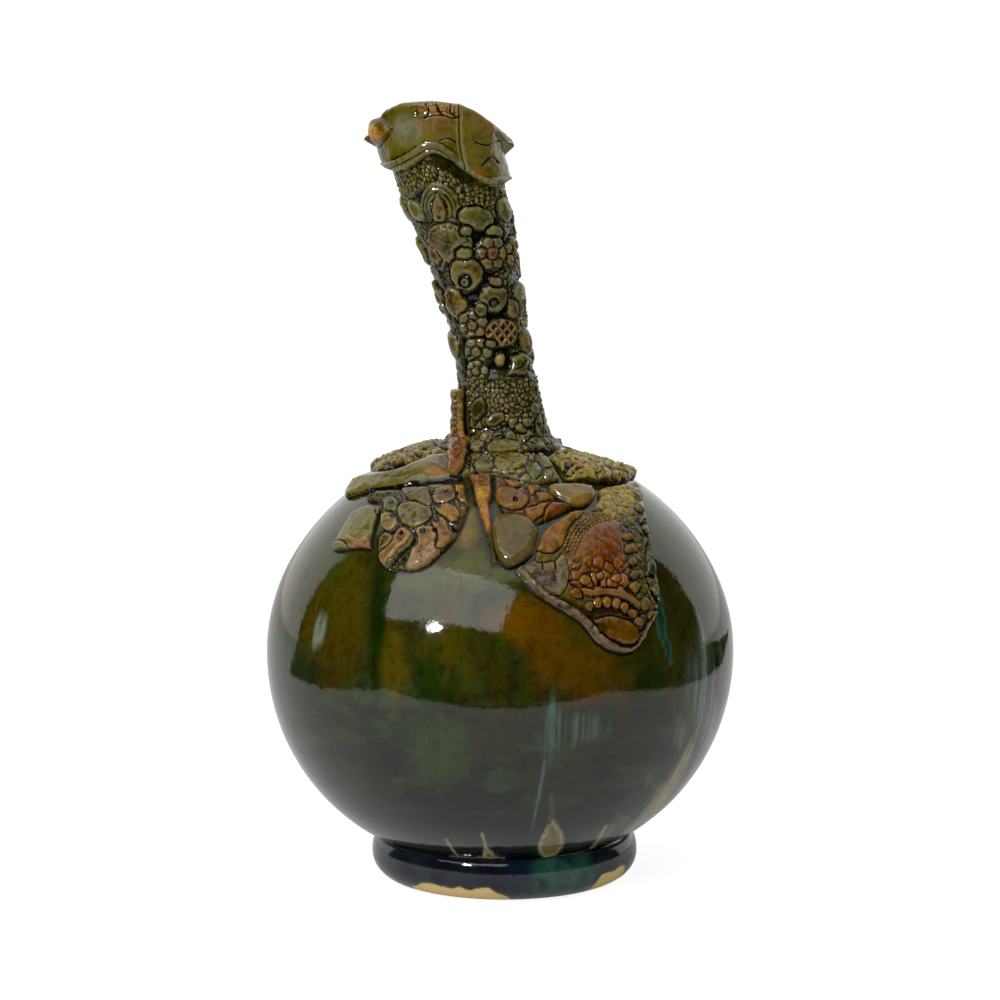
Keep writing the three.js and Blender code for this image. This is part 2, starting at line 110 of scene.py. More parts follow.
# Glazes and clay
OLIVE = linear(96, 88, 36)
DARK_OLIVE = linear(58, 56, 22)
MOSS = linear(66, 76, 28)
SAGE = linear(124, 118, 84)
GREY = linear(132, 126, 108)
TAN = linear(142, 116, 68)
BROWN = linear(92, 62, 30)
AMBER = linear(132, 88, 22)
RUST = linear(112, 62, 32)
HONEY = linear(112, 98, 22)
INK = linear(16, 20, 34)
BUFF = linear(226, 200, 136)
LIME = linear(104, 104, 40)
PALE_OLIVE = linear(106, 104, 66)
OCHRE = linear(114, 94, 42)
ROSE = linear(172, 132, 108)
SALMON = linear(160, 112, 76)


# Curves and noise


def mix(low, high, share):
    return low + (high - low) * share


def smooth(value, start=0.0, end=1.0):
    """0 up to start, 1 beyond end, and an S-shaped climb between them, or a fall if end lies below start"""
    share = np.clip((value - start) / (end - start), 0, 1)
    return share * share * (3 - 2 * share)


def curve_through(points, steps_each=40):
    """A smooth curve through points, as the model's source draws it."""
    points = np.array(points, float)
    last = len(points) - 1
    place = np.linspace(0, last, steps_each * last + 1)
    first = np.minimum(place.astype(int), last - 1)
    share = (place - first)[:, None]
    before, here = points[np.maximum(first - 1, 0)], points[first]
    there, after = points[first + 1], points[np.minimum(first + 2, last)]
    leave, arrive = (there - before) / 2, (after - here) / 2
    cubic = 2 * here - 2 * there + leave + arrive
    square = -3 * here + 3 * there - 2 * leave - arrive
    return ((cubic * share + square) * share + leave) * share + here


def at_shares(curve, shares):
    """Points of a curve at shares of its length."""
    lengths = np.concatenate([[0], np.cumsum(np.linalg.norm(np.diff(curve, axis=0), axis=1))])
    return np.stack([np.interp(shares * lengths[-1], lengths, curve[:, k]) for k in range(2)], axis=-1)


def scatter(cell, seed):
    """A steady pseudo-random number from 0 to 1 for each whole-numbered place."""
    mixed = (cell * np.array([374761393, 668265263, 1274126177])).sum(axis=-1) + seed * 362437
    mixed = np.bitwise_and(mixed, 0xFFFFFFFF)
    mixed = np.bitwise_and((mixed ^ (mixed >> 13)) * 1103515245, 0xFFFFFFFF)
    mixed = np.bitwise_and((mixed ^ (mixed >> 15)) * 12820163, 0xFFFFFFFF)
    return (mixed ^ (mixed >> 16)) / 0xFFFFFFFF


CORNERS = [np.array([i, j, k]) for i in (0, 1) for j in (0, 1) for k in (0, 1)]
NEIGHBOURS = [np.array([i, j, k]) for i in (-1, 0, 1) for j in (-1, 0, 1) for k in (-1, 0, 1)]


def noise(places, seed=0):
    """Smooth noise from -1 to 1 with features about one unit across."""
    floor = np.floor(places).astype(np.int64)
    share = places - floor
    share = share * share * (3 - 2 * share)
    total = 0
    for corner in CORNERS:
        weight = np.prod(np.where(corner == 1, share, 1 - share), axis=-1)
        total = total + weight * scatter(floor + corner, seed)
    return 2 * total - 1


def cloud(places, octaves=3, seed=0):
    """Noise with finer noise added, each octave half as strong."""
    parts = [noise(places * 2.03**k, seed + k) / 2**k for k in range(octaves)]
    return sum(parts) / (2 - 2 ** (1 - octaves))


def cells(places, seed=0):
    """How far each place lies from the border of its cell, and a number from 0 to 1 that names the cell"""
    floor = np.floor(places).astype(np.int64)
    nearest = np.full(places.shape[:-1], 9.0)
    second = nearest.copy()
    name = np.zeros(places.shape[:-1])
    for neighbour in NEIGHBOURS:
        cell = floor + neighbour
        spot = cell + 0.15 + 0.7 * np.stack([scatter(cell, seed + k) for k in range(3)], axis=-1)
        distance = np.linalg.norm(places - spot, axis=-1)
        closer = distance < nearest
        second = np.where(closer, nearest, np.minimum(second, distance))
        name = np.where(closer, scatter(cell, seed + 9), name)
        nearest = np.minimum(nearest, distance)
    return second - nearest, name


# Surfaces, each giving the point a distance out from a place on the clay


def skin_at(share, inset=0.0):
    """Radius and height of the globe's skin: share -1 is its lowest point, 0 the equator, 1 the crown."""
    turn = np.abs(share) * math.pi / 2
    sharpness = np.where(share >= 0, SHOULDER_SHARPNESS, BELLY_SHARPNESS)
    radius = (GLOBE_RADIUS - inset) * np.maximum(np.cos(turn), 0) ** sharpness
    rise = np.where(share >= 0, GLOBE_RISE - inset, inset - GLOBE_DROP) * np.sin(turn)
    return radius, EQUATOR_Z + rise


def share_at(radius, upper, inset=0.0):
    """The share of the profile where the skin has a radius, above or below the equator."""
    sharpness = SHOULDER_SHARPNESS if upper else BELLY_SHARPNESS
    share = math.acos(min(1, (radius / (GLOBE_RADIUS - inset)) ** (1 / sharpness))) * 2 / math.pi
    return share if upper else -share


EQUATOR_Z = FOOT_HEIGHT + GLOBE_DROP * math.sin(-share_at(FOOT_SEAT_RADIUS, False) * math.pi / 2)
PROFILE_STEPS = 1000  # from the crown to the equator, and as many again to the lowest point
PROFILE_R, PROFILE_Z = skin_at(np.linspace(1, -1, 2 * PROFILE_STEPS + 1))
STEP_R, STEP_Z = np.diff(PROFILE_R), np.diff(PROFILE_Z)
PROFILE_REACH = np.concatenate([[0], np.cumsum(np.hypot(STEP_R, STEP_Z))])
TANGENT_R = np.gradient(PROFILE_R, PROFILE_REACH)
TANGENT_Z = np.gradient(PROFILE_Z, PROFILE_REACH)


def reach_at_radius(radius):
    """How far down from the crown the upper half of the globe's skin has a radius"""
    return float(np.interp(radius, PROFILE_R[:PROFILE_STEPS], PROFILE_REACH[:PROFILE_STEPS]))


def below_equator(radius, values):
    """What a list along the profile has where the lower half of the skin has a radius"""
    return float(np.interp(-radius, -PROFILE_R[PROFILE_STEPS:], values[PROFILE_STEPS:]))


SKIRT_REACH = reach_at_radius(SKIRT_RADIUS)
CROWN_Z = float(skin_at(np.array(share_at(NECK_BASE_RADIUS, True)))[1])
MOUTH_Z = CROWN_Z + NECK_LENGTH
JOINT_Z = CROWN_Z + LOWER_SLEEVE_HEIGHT
NECK_RADII, NECK_LEANS = (
    curve_through([(CROWN_Z + NECK_LENGTH * station[0], station[k]) for station in NECK_STATIONS])
    for k in (1, 2)
)


def around(azimuth, radius, z, centre_x=0.0):
    turn = np.radians(azimuth)
    return np.stack(np.broadcast_arrays(centre_x + radius * np.sin(turn), -radius * np.cos(turn), z), axis=-1)


def on_globe(azimuth, reach, out=0.0):
    radius, z, along_r, along_z = (
        np.interp(reach, PROFILE_REACH, values) for values in (PROFILE_R, PROFILE_Z, TANGENT_R, TANGENT_Z)
    )
    return around(azimuth, radius - along_z * out, z + along_r * out)


def neck_radius(z):
    return np.interp(z, NECK_RADII[:, 0], NECK_RADII[:, 1])


def neck_centre(z):
    return -np.interp(z, NECK_LEANS[:, 0], NECK_LEANS[:, 1])


def on_neck(azimuth, z, out=0.0):
    return around(azimuth, neck_radius(z) + out, z, neck_centre(z))


def lip_z(azimuth):
    """Height of the lip, which is a saddle: high at the front and back, low at the sides."""
    cosine = np.cos(np.radians(azimuth))
    aside = 1 - np.abs(cosine)
    right = np.sin(np.radians(azimuth)) > 0
    dip = np.where(right, LIP_DIP_RIGHT * aside, LIP_DIP_LEFT * aside**LIP_DIP_LEFT_POWER)
    return MOUTH_Z - dip - np.where(cosine < 0, LIP_DROP_BACK * cosine * cosine, 0)


def seen(spot):
    """Where the photograph's camera sees a point, in pixels across and down"""
    drop = math.radians(CAMERA_DROP)
    away = spot - np.array([0, CAMERA_Y, CAMERA_Z])
    depth = away[..., 1] * math.cos(drop) - away[..., 2] * math.sin(drop)
    lift = away[..., 1] * math.sin(drop) + away[..., 2] * math.cos(drop)
    return VIEW_MIDDLE + VIEW_FOCAL * away[..., 0] / depth, VIEW_MIDDLE - VIEW_FOCAL * lift / depth


FAR_OFF = 1e3


def turned(x, y, turn):
    """Distances right and up, measured along axes turned anticlockwise by degrees"""
    cosine, sine = math.cos(math.radians(turn)), math.sin(math.radians(turn))
    return x * cosine + y * sine, y * cosine - x * sine


# Distances to the outlines of pressed motifs, below 0 inside


def oval(x, y, half_width, half_height):
    return (np.hypot(x / half_width, y / half_height) - 1) * min(half_width, half_height)


def leaf(x, y, half_width, half_height):
    """Pointed at both ends, along y"""
    along = np.clip(np.abs(y) / half_height, 0, 1.3)
    return (np.abs(x) - half_width * (1 - along**1.8)) * 0.8


def teardrop(x, y, half_width, half_height):
    """Round below, and narrow above"""
    share = np.clip((y / half_height + 1) / 2, 0, 1)
    width = half_width * (1 - 0.75 * share)
    return oval(x * half_width / width, y, half_width, half_height)


def crescent(x, y, radius, bite, drop):
    """A disc with a smaller disc bitten out, the bite's centre below its own"""
    return np.maximum(np.hypot(x, y) - radius, bite - np.hypot(x, y + drop))


def stretch_to(x, y, points):
    """Distance to a path through points, and the length travelled along it to the nearest place"""
    path = curve_through(points, 12)
    starts, steps = path[:-1], np.diff(path, axis=0)
    lengths = np.linalg.norm(steps, axis=1)
    before = np.concatenate([[0], np.cumsum(lengths)])
    best = np.full(x.shape, 1e6)
    place = np.zeros(x.shape)
    for start, step, length, travelled in zip(starts, steps, lengths, before):
        share = np.clip(((x - start[0]) * step[0] + (y - start[1]) * step[1]) / length**2, 0, 1)
        distance = np.hypot(x - start[0] - share * step[0], y - start[1] - share * step[1])
        closer = distance < best
        best = np.where(closer, distance, best)
        place = np.where(closer, travelled + share * length, place)
    return best, place


def patch(x, y, points):
    """Distance to the smooth closed outline through points"""
    closed = list(points) + [points[0]]
    distance, _ = stretch_to(x, y, closed)
    path = curve_through(closed, 12)
    inside = np.zeros(x.shape, bool)
    for (x1, y1), (x2, y2) in zip(path[:-1], path[1:]):
        if y1 != y2:
            crosses = ((y1 > y) != (y2 > y)) & (x < (x2 - x1) * (y - y1) / (y2 - y1) + x1)
            inside ^= crosses
    return np.where(inside, -distance, distance)


# Clay


class Clay:
    """The outer skin of a piece as a grid of places, with relief, tint, pooled or missing glaze, and painted
    shade
    """

    def __init__(self, surface, across, along, spot=None, out=None):
        self.surface, self.across, self.along = surface, across, along
        self.spot = surface(across, along) if spot is None else spot
        self.out = surface(across, along, 1.0) - self.spot if out is None else out
        self.height = np.zeros(across.shape)
        # Where glaze pools dark, and where shade is painted in the same dark colour
        self.pool = np.zeros(across.shape)
        self.bare = np.zeros(across.shape)
        self.tint = np.zeros(across.shape + (3,)) + OLIVE

    def flat(self, azimuth, along, turn=0.0):
        """Distances right and up from a place, in the plane that touches the clay, turned anticlockwise"""
        centre = self.surface(azimuth, along)
        out = self.surface(azimuth, along, 1.0) - centre
        side = self.surface(azimuth + 0.5, along) - self.surface(azimuth - 0.5, along)
        side /= np.linalg.norm(side)
        rise = np.cross(out, side)
        away = self.spot - centre
        hidden = self.out @ out < 0.25
        return [np.where(hidden, FAR_OFF, value) for value in turned(away @ side, away @ rise, turn)]

    def view(self, across=0.0, down=0.0, turn=0.0):
        """Distances right and up from a pixel of the photograph, far off where the clay faces away"""
        if not hasattr(self, "pixels"):
            toward = np.array([0, CAMERA_Y, CAMERA_Z]) - self.spot
            facing = (self.out * toward).sum(axis=-1) > 0.12 * np.linalg.norm(toward, axis=-1)
            self.pixels = [np.where(facing, value, -9 * FAR_OFF) for value in seen(self.spot)]
        return turned((self.pixels[0] - across) * VIEW_MM, (down - self.pixels[1]) * VIEW_MM, turn)

    def view_patch(self, pixels):
        """Distance to a smooth closed outline through pixels of the photograph"""
        return patch(*self.view(), [(across * VIEW_MM, -down * VIEW_MM) for across, down in pixels])

    def view_line(self, pixels):
        """Distance to a smooth line through pixels of the photograph, and the length travelled along it"""
        return stretch_to(*self.view(), [(across * VIEW_MM, -down * VIEW_MM) for across, down in pixels])

    def uneven(self):
        """Noise that makes pressed outlines uneven, worked out once, along with how much glaze pools where"""
        if not hasattr(self, "wobble"):
            parts = [(1.0, 2.0, 4), (0.4, 0.9, 5), (0.9, 4.5, 7)]
            self.wobble = sum(amount * noise(self.spot / size, seed) for amount, size, seed in parts)
            self.runny = mix(0.35, 1.0, smooth(cloud(self.spot / 7, 2, 6), -0.35, 0.35))
        return self.wobble

    def coat(self, colour):
        """One colour all over"""
        self.tint = np.zeros(self.tint.shape) + colour

    def paint(self, mask, colour):
        self.tint = mix(self.tint, colour, np.clip(mask, 0, 1)[..., None])

    def mottle(self, size, seed, start, end, colour, amount=1.0, octaves=3):
        """Cloudy patches of a colour, where noise of a size climbs from start to end"""
        self.paint(smooth(cloud(self.spot / size, octaves, seed), start, end) * amount, colour)

    def ground(self, size, seed, end, colours, amount):
        """The first colour all over, with cloudy patches of the others"""
        self.coat(colours[0])
        for k, colour in enumerate(colours[1:]):
            self.mottle(size, seed + k, 0, end, colour, amount)

    def wash(self, patches, uneven=None, start=1.2, end=0.5, cover=1.0):
        """Soft patches, each by its pixel, half width and height in pixels, colour, strength and any lean"""
        if uneven is None:
            uneven = 0.35 * cloud(self.spot / 5, 3, 92)
        for across, down, half_width, half_height, colour, amount, *lean in patches:
            x, y = self.view(across, down, *lean)
            spread = np.hypot(x / half_width, y / half_height) / VIEW_MM
            self.paint(smooth(spread + uneven, start, end) * amount * cover, colour)

    def press(self, distance, height=0.7, bevel=1.0, groove=0.5, gap=0.35, colour=None, cover=1.0):
        """Raises a motif as a pillow within its uneven outline, with glaze pooled in a groove round it"""
        distance = distance + min(0.32, 0.2 * bevel) * self.uneven()
        inside = np.clip(-distance / bevel, 0, 1)
        pillow = np.sqrt(1 - (1 - inside) ** 2)
        weight = smooth(distance, gap * 2, gap) * cover
        self.height = mix(self.height, (height + groove) * pillow - groove, weight)
        self.pool = mix(self.pool, (1 - pillow) ** 2 * self.runny, weight)
        if colour is not None:
            self.paint(smooth(distance, 0.4, -0.6) * cover, colour)
            self.paint(smooth(distance, -0.4 * bevel, -1.1 * bevel) * cover * 0.5, colour * 0.55)

    def pebbles(self, size, depth, mask=1.0, seed=0, squash=(1, 1, 1), soft=0.55):
        """Covers a region with the small uneven cells of pressed crochet."""
        border, name = cells(self.spot / (size * np.array(squash)), seed)
        pillow = 1 - (1 - np.clip(border / soft, 0, 1)) ** 2
        self.height = self.height + mask * depth * (pillow * (0.75 + 0.5 * name) - 0.75)
        self.pool = mix(self.pool, (1 - pillow) ** 2.2, np.clip(mask, 0, 1))
        return name

    def roughen(self, amount):
        """Small dents and lumps of hand-pressed clay under runny glaze"""
        lumps = cloud(self.spot / 2.4, 3, 9) + 0.8 * cloud(self.spot / 6, 2, 10)
        self.height = self.height + amount * lumps

    def cord(self, distance, width, height, mask=1.0):
        """A raised ridge along a line"""
        ridge = np.sqrt(np.clip(1 - (distance / width) ** 2, 0, 1)) * mask
        self.height = mix(self.height, np.maximum(self.height, height), ridge)
        self.pool = self.pool * (1 - ridge)

    def beads(self, line, step, radius, height, colour, squeeze=1.0):
        """A row of beads along a line, a step apart"""
        distance, travelled = line
        along = (travelled + step / 2) % step - step / 2
        self.press(np.hypot(distance, along * squeeze) - radius, height, radius * 0.9, 0.3, 0.15, colour)

    def hole(self, distance, depth=1.4, edge=0.8):
        """A pit whose bottom holds dark glaze"""
        pit = smooth(distance, edge, -edge)
        self.height = self.height - depth * pit
        self.pool = np.maximum(self.pool, pit)

    def slit(self, distance, width=0.5, depth=1.2, mask=1.0):
        """A crack or torn seam along a line"""
        cut = smooth(distance, width, 0) * mask
        self.height = self.height - depth * cut
        self.pool = np.maximum(self.pool, cut)


def blurred(values, passes=2, wraps=False):
    """A grid smoothed over its neighbours."""
    for _ in range(passes):
        for axis in (0, 1):
            mode = "wrap" if wraps and axis == 0 else "edge"
            pad = [(2, 2) if axis == k else (0, 0) for k in (0, 1)]
            padded = np.pad(values, pad, mode=mode)
            size = values.shape[axis]
            values = sum(np.take(padded, range(k, k + size), axis=axis) for k in range(5)) / 5
    return values


# Meshes


def add_mesh(name, points, faces, ends, values):
    """A mesh object from points in millimetres, four-cornered faces, many-cornered ends and point values"""
    mesh = bpy.data.meshes.new(name)
    corners = np.concatenate([faces.ravel()] + [np.array(end) for end in ends]).astype(np.int32)
    sizes = np.concatenate([np.full(len(faces), 4), [len(end) for end in ends]]).astype(np.int32)
    starts = np.concatenate([[0], np.cumsum(sizes)[:-1]]).astype(np.int32)
    mesh.vertices.add(len(points))
    mesh.vertices.foreach_set("co", (points * METRES).astype(np.float32).ravel())
    mesh.loops.add(len(corners))
    mesh.loops.foreach_set("vertex_index", corners)
    mesh.polygons.add(len(sizes))
    mesh.polygons.foreach_set("loop_start", starts)
    mesh.polygons.foreach_set("use_smooth", np.ones(len(sizes), bool))
    mesh.update(calc_edges=True)
    mesh.validate()
    for key, given in values.items():
        if given.ndim == 2:
            layer = mesh.color_attributes.new(key, "FLOAT_COLOR", "POINT")
            layer.data.foreach_set("color", np.c_[given, np.ones(len(given))].astype(np.float32).ravel())
        else:
            layer = mesh.attributes.new(key, "FLOAT", "POINT")
            layer.data.foreach_set("value", given.astype(np.float32))
    piece = bpy.data.objects.new(name, mesh)
    bpy.context.scene.collection.objects.link(piece)
    return piece


def make_piece(node, slot, clay, inner, form="slab"):
    """Closes a skin over its inner surface, as a slab, a tube or a bowl, and puts it in place of a node."""
    round_about = form != "slab"
    outer = clay.spot + clay.out * clay.height[..., None]
    ring = np.concatenate([outer, inner[:, ::-1]], axis=1)
    across, rows = ring.shape[:2]
    columns = across if round_about else across - 1
    levels = rows - 1 if form == "bowl" else rows
    i, j = np.meshgrid(np.arange(columns), np.arange(levels), indexing="ij")
    right, up = (i + 1) % across, (j + 1) % rows
    faces = [i * rows + j, right * rows + j, right * rows + up, i * rows + up]
    faces = np.stack(faces, axis=-1).reshape(-1, 4)
    first_column, last_column = np.arange(rows), np.arange(rows) + (across - 1) * rows
    first_row, last_row = np.arange(across) * rows, np.arange(across) * rows + rows - 1
    ends = {
        "slab": [first_column[::-1], last_column],
        "tube": [],
        "bowl": [first_row[::-1], last_row],
    }[form]
    relief = (clay.height - blurred(clay.height, 3, round_about)) * 1.4 + 0.5

    def with_inside(values, inside):
        filler = np.zeros((across, inner.shape[1]) + values.shape[2:]) + inside
        return np.concatenate([values, filler], axis=1).reshape((-1,) + values.shape[2:])

    values = {
        "tint": with_inside(clay.tint, DARK_OLIVE),
        "relief": with_inside(np.clip(relief, 0, 1), 0.5),
        "pool": with_inside(np.clip(clay.pool, 0, 1), 0.3),
        "bare": with_inside(np.clip(clay.bare, 0, 1), 0.0),
    }
    piece = add_mesh("glazed_" + node, ring.reshape(-1, 3), faces, ends, values)
    piece.data.materials.append(GLAZES[slot])
    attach(piece, "root")
    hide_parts(node)


# Shader nodes


def arithmetic(operation, reflected=False):
    """The method of Value behind one operator"""

    def method(self, other):
        values = (other, self) if reflected else (self, other)
        return self.nodes.add("ShaderNodeMath", {"operation": operation}, dict(enumerate(values)))

    return method


class Value:
    """One output of a shader node. Arithmetic on it adds the nodes that work it out."""

    __add__, __radd__ = arithmetic("ADD"), arithmetic("ADD", True)
    __sub__, __rsub__ = arithmetic("SUBTRACT"), arithmetic("SUBTRACT", True)
    __mul__, __rmul__ = arithmetic("MULTIPLY"), arithmetic("MULTIPLY", True)

    def __init__(self, nodes, socket):
        self.nodes, self.socket = nodes, socket


class Nodes:
    """The nodes of a material or of the world"""

    def __init__(self, owner):
        owner.use_nodes = True
        self.tree = owner.node_tree
        self.tree.nodes.clear()

    def add(self, kind, settings, sockets, output=0):
        """Adds a node, makes its settings, gives its sockets values or links, and returns one output."""
        node = self.tree.nodes.new(kind)
        for key, setting in settings.items():
            setattr(node, key, setting)
        for key, value in sockets.items():
            if isinstance(value, Value):
                self.tree.links.new(value.socket, node.inputs[key])
            else:
                node.inputs[key].default_value = value
        return Value(self, node.outputs[output] if node.outputs else None)

    def step(self, value, start, end):
        """0 up to start, 1 beyond end, and an S-shaped climb between them"""
        settings = {"interpolation_type": "SMOOTHSTEP"}
        return self.add("ShaderNodeMapRange", settings, {"Value": value, "From Min": start, "From Max": end})

    def blend(self, share, low, high, way="MIX"):
        """A colour between two colours, or one laid over the other in some other way"""
        low, high = (value if isinstance(value, Value) else (*value, 1) for value in (low, high))
        settings = {"data_type": "RGBA", "blend_type": way}
        return self.add("ShaderNodeMix", settings, {0: share, 6: low, 7: high}, 2)

    def ray(self, kind):
        return self.add("ShaderNodeLightPath", {}, {}, kind)

    def attribute(self, name, output="Fac"):
        return self.add("ShaderNodeAttribute", {"attribute_name": name}, {}, output)

    def grain(self, size, detail=3.0, stretch=(1, 1, 1)):
        """Noise with features of a size in millimetres, 0 to 1"""
        place = self.add("ShaderNodeTexCoord", {}, {}, "Object")
        scaled = self.add("ShaderNodeMapping", {}, {"Vector": place, "Scale": [1 / k for k in stretch]})
        sockets = {"Vector": scaled, "Scale": 1 / (size * METRES), "Detail": detail, "Roughness": 0.55}
        return self.add("ShaderNodeTexNoise", {}, sockets)


def glaze(name, pooled, broken, ripple, roughness, cast, drift, wear_and_highlight, gloss):
    """Runny glaze: dark where it pools and with painted shade in hollows, paler where it breaks over an edge
    and with a painted highlight there, matt and buff where it is bare
    """
    material = bpy.data.materials.new(name)
    nodes = Nodes(material)
    relief, pool, bare = nodes.attribute("relief"), nodes.attribute("pool"), nodes.attribute("bare")
    run, mottle, speck = nodes.grain(9, 3, (1, 1, 1.6)), nodes.grain(2.6, 4), nodes.grain(0.7, 4)
    colour = nodes.blend(1, nodes.attribute("tint", "Color"), cast, "MULTIPLY")
    patches = [
        (run, 0.5, 0.68, drift, linear(60, 40, 10), "OVERLAY"),
        (run, 0.5, 0.34, drift, linear(92, 112, 74), "SOFT_LIGHT"),
        (mottle, 0.45, 0.7, drift, linear(58, 44, 12), "OVERLAY"),
        (mottle, 0.45, 0.3, drift * 0.5, linear(170, 160, 110), "SOFT_LIGHT"),
        (speck, 0.4, 0.75, 0.4, linear(180, 168, 120), "SOFT_LIGHT"),
    ]
    for grain, start, end, amount, tone, way in patches:
        colour = nodes.blend(nodes.step(grain, start, end) * amount, colour, tone, way)
    # Painted shade, along with glaze that gathers there: darker where the surface lies below its surroundings
    hollow = nodes.step(relief + (mottle - 0.5) * 0.25, 0.44, 0.1)
    colour = nodes.blend(hollow * 0.9, colour, linear(84, 74, 40), "MULTIPLY")
    # The pooled colour, for pooled glaze and for shade painted under and round slabs
    deep = nodes.step(pool + (mottle - 0.5) * 0.3, 0.12, 0.8)
    colour = nodes.blend(deep, colour, pooled)
    # Glaze broken pale over raised edges, which also stands in for a painted highlight
    edge = nodes.step(relief + (speck - 0.5) * 0.3 + (mottle - 0.5) * 0.6, 0.6, 0.95)
    colour = nodes.blend(edge * wear_and_highlight, colour, broken)
    specked_clay = nodes.blend(nodes.step(speck, 0.45, 0.75) * 0.35, BUFF, linear(186, 156, 100))
    colour = nodes.blend(bare, colour, specked_clay)
    wobble = nodes.grain(6, 2) * ripple + nodes.grain(1.6, 3) * ripple * 0.4 + bare * speck * 0.15
    bump = nodes.add("ShaderNodeBump", {}, {"Strength": 1.0, "Distance": METRES, "Height": wobble})
    shine = nodes.step(mottle, 0.3, 0.8) * 0.05 + roughness + bare * 0.6
    sockets = {"Base Color": colour, "Roughness": shine, "Normal": bump, "IOR": 1.5}
    shader = nodes.add("ShaderNodeBsdfPrincipled", {}, {**sockets, "Specular IOR Level": gloss})
    nodes.add("ShaderNodeOutputMaterial", {}, {"Surface": shader})
    return material


GLOBE_CAST = (0.58, 0.68, 0.45)
CLEAR = (1, 1, 1)
WARM = (1.0, 0.94, 0.38)
DEEP = (0.94, 0.80, 0.30)
LACE_CAST = (0.86, 0.82, 0.42)

# Each glaze's colour for pooled glaze and painted shade, then for glaze broken over an edge and painted
# highlight, then its ripple, roughness, cast over the tints, drift of colour, wear and painted highlight on
# edges, and gloss
GLAZE_RECIPES = {
    "globe_glaze": (linear(24, 26, 10), linear(120, 112, 60), 0.08, 0.03, GLOBE_CAST, 0.3, 0.45, 0.5),
    "foot_glaze": (linear(10, 12, 18), linear(96, 96, 70), 0.10, 0.06, CLEAR, 0.2, 0.45, 0.5),
    "lace_glaze": (linear(7, 8, 3), linear(160, 150, 104), 0.18, 0.05, LACE_CAST, 0.7, 0.25, 0.42),
    "smooth_glaze": (linear(14, 12, 5), linear(150, 138, 100), 0.12, 0.06, WARM, 0.3, 0.3, 0.45),
    "amber_glaze": (linear(12, 7, 3), linear(150, 104, 44), 0.18, 0.05, DEEP, 0.6, 0.3, 0.36),
}
GLAZES = {slot: glaze(slot, *recipe) for slot, recipe in GLAZE_RECIPES.items()}


# Globe and foot


def as_seen(red, green, blue):
    """A tint that the globe's glaze turns into the colour given"""
    return linear(red, green, blue) / np.array(GLOBE_CAST)


def spaced(count, crowding):
    """Shares from 0 to 1, closer together near both ends by a crowding from 0 to 1."""
    shares = np.linspace(0, 1, count)
    return mix(shares, 0.5 - 0.5 * np.cos(math.pi * shares), crowding)


def turned_grid(surface, columns, along, crowding=0.45):
    """A grid right round the vase, with its columns closer together at the front"""
    turn = np.linspace(-math.pi, math.pi, columns, endpoint=False)
    azimuth = np.degrees(turn - crowding * np.sin(turn))
    return Clay(surface, *np.meshgrid(azimuth, along, indexing="ij"))


def streaks(clay, width, length, seed):
    """Noise drawn out down the globe, as glaze runs, by its width at the equator and its length"""
    turn, girth = np.radians(clay.across), round(GLOBE_RADIUS) / width
    place = [np.cos(turn) * girth, np.sin(turn) * girth, clay.along / length]
    return cloud(np.stack(place, axis=-1), 4, seed)


# Runs of glaze on the globe, by pixel, half width and height in pixels, colour, strength and any lean
GLAZE_RUNS = [
    (345, 600, 24, 70, linear(92, 76, 8), 0.8, -6),
    (338, 655, 26, 50, linear(84, 62, 6), 0.7, -6),
    (330, 560, 22, 30, linear(70, 78, 26), 0.6),
    (378, 630, 9, 95, linear(26, 44, 8), 0.9, -2),
    (394, 668, 16, 44, linear(104, 84, 6), 0.8),
    (430, 680, 15, 34, linear(34, 58, 10), 0.85),
    (455, 690, 10, 26, linear(30, 50, 12), 0.7),
    (466, 655, 18, 50, linear(80, 70, 8), 0.6),
    (520, 622, 34, 26, linear(126, 78, 4), 0.95),
    (500, 680, 14, 44, linear(74, 62, 6), 0.7),
    (526, 690, 10, 40, linear(60, 60, 8), 0.7),
    (545, 640, 22, 50, linear(112, 68, 4), 0.8),
    (585, 676, 34, 36, linear(112, 70, 6), 0.85),
    (622, 690, 16, 40, linear(84, 64, 8), 0.7),
    (648, 690, 14, 60, linear(46, 58, 12), 0.8, 4),
    (676, 680, 14, 60, linear(76, 66, 24), 0.6, 6),
    (480, 570, 50, 22, linear(104, 100, 40), 0.7),
    (420, 580, 26, 16, linear(92, 100, 36), 0.6),
    (690, 560, 22, 50, linear(74, 70, 36), 0.7, 10),
    (468, 528, 11, 26, linear(150, 116, 26), 0.9),
    (438, 752, 40, 40, linear(70, 84, 46), 0.6),
    (350, 760, 34, 50, linear(46, 50, 30), 0.6),
    (560, 778, 40, 30, linear(54, 62, 38), 0.6),
    (500, 745, 30, 26, linear(52, 50, 26), 0.6),
    (640, 740, 26, 44, linear(48, 44, 34), 0.7),
    (300, 690, 20, 60, linear(44, 52, 40), 0.6),
]

# Pale brushed runs, in the same form, which fine dark lines run through
PALE_RUNS = [
    (319, 630, 7, 20, as_seen(120, 130, 112), 0.8, -12),
    (553, 722, 8, 32, as_seen(78, 108, 92), 0.8),
    (580, 728, 26, 20, as_seen(84, 98, 80), 0.7),
    (549, 742, 14, 30, as_seen(62, 82, 72), 0.5),
    (706, 690, 11, 76, as_seen(126, 140, 132), 0.8, 4),
    (696, 700, 5, 60, linear(96, 118, 116), 0.6, 4),
    (722, 640, 5, 60, linear(110, 120, 116), 0.6, 3),
    (712, 560, 12, 50, linear(96, 104, 88), 0.5, 14),
    (700, 700, 13, 50, as_seen(112, 124, 118), 0.7, 6),
    (688, 752, 11, 40, as_seen(100, 108, 98), 0.7, 18),
    (664, 798, 10, 32, as_seen(96, 100, 82), 0.7, 34),
    (636, 832, 8, 26, as_seen(98, 100, 82), 0.7, 46),
    (606, 838, 6, 22, linear(120, 124, 100), 0.7, -28),
    (621, 850, 8, 16, linear(96, 118, 100), 0.6, -40),
]


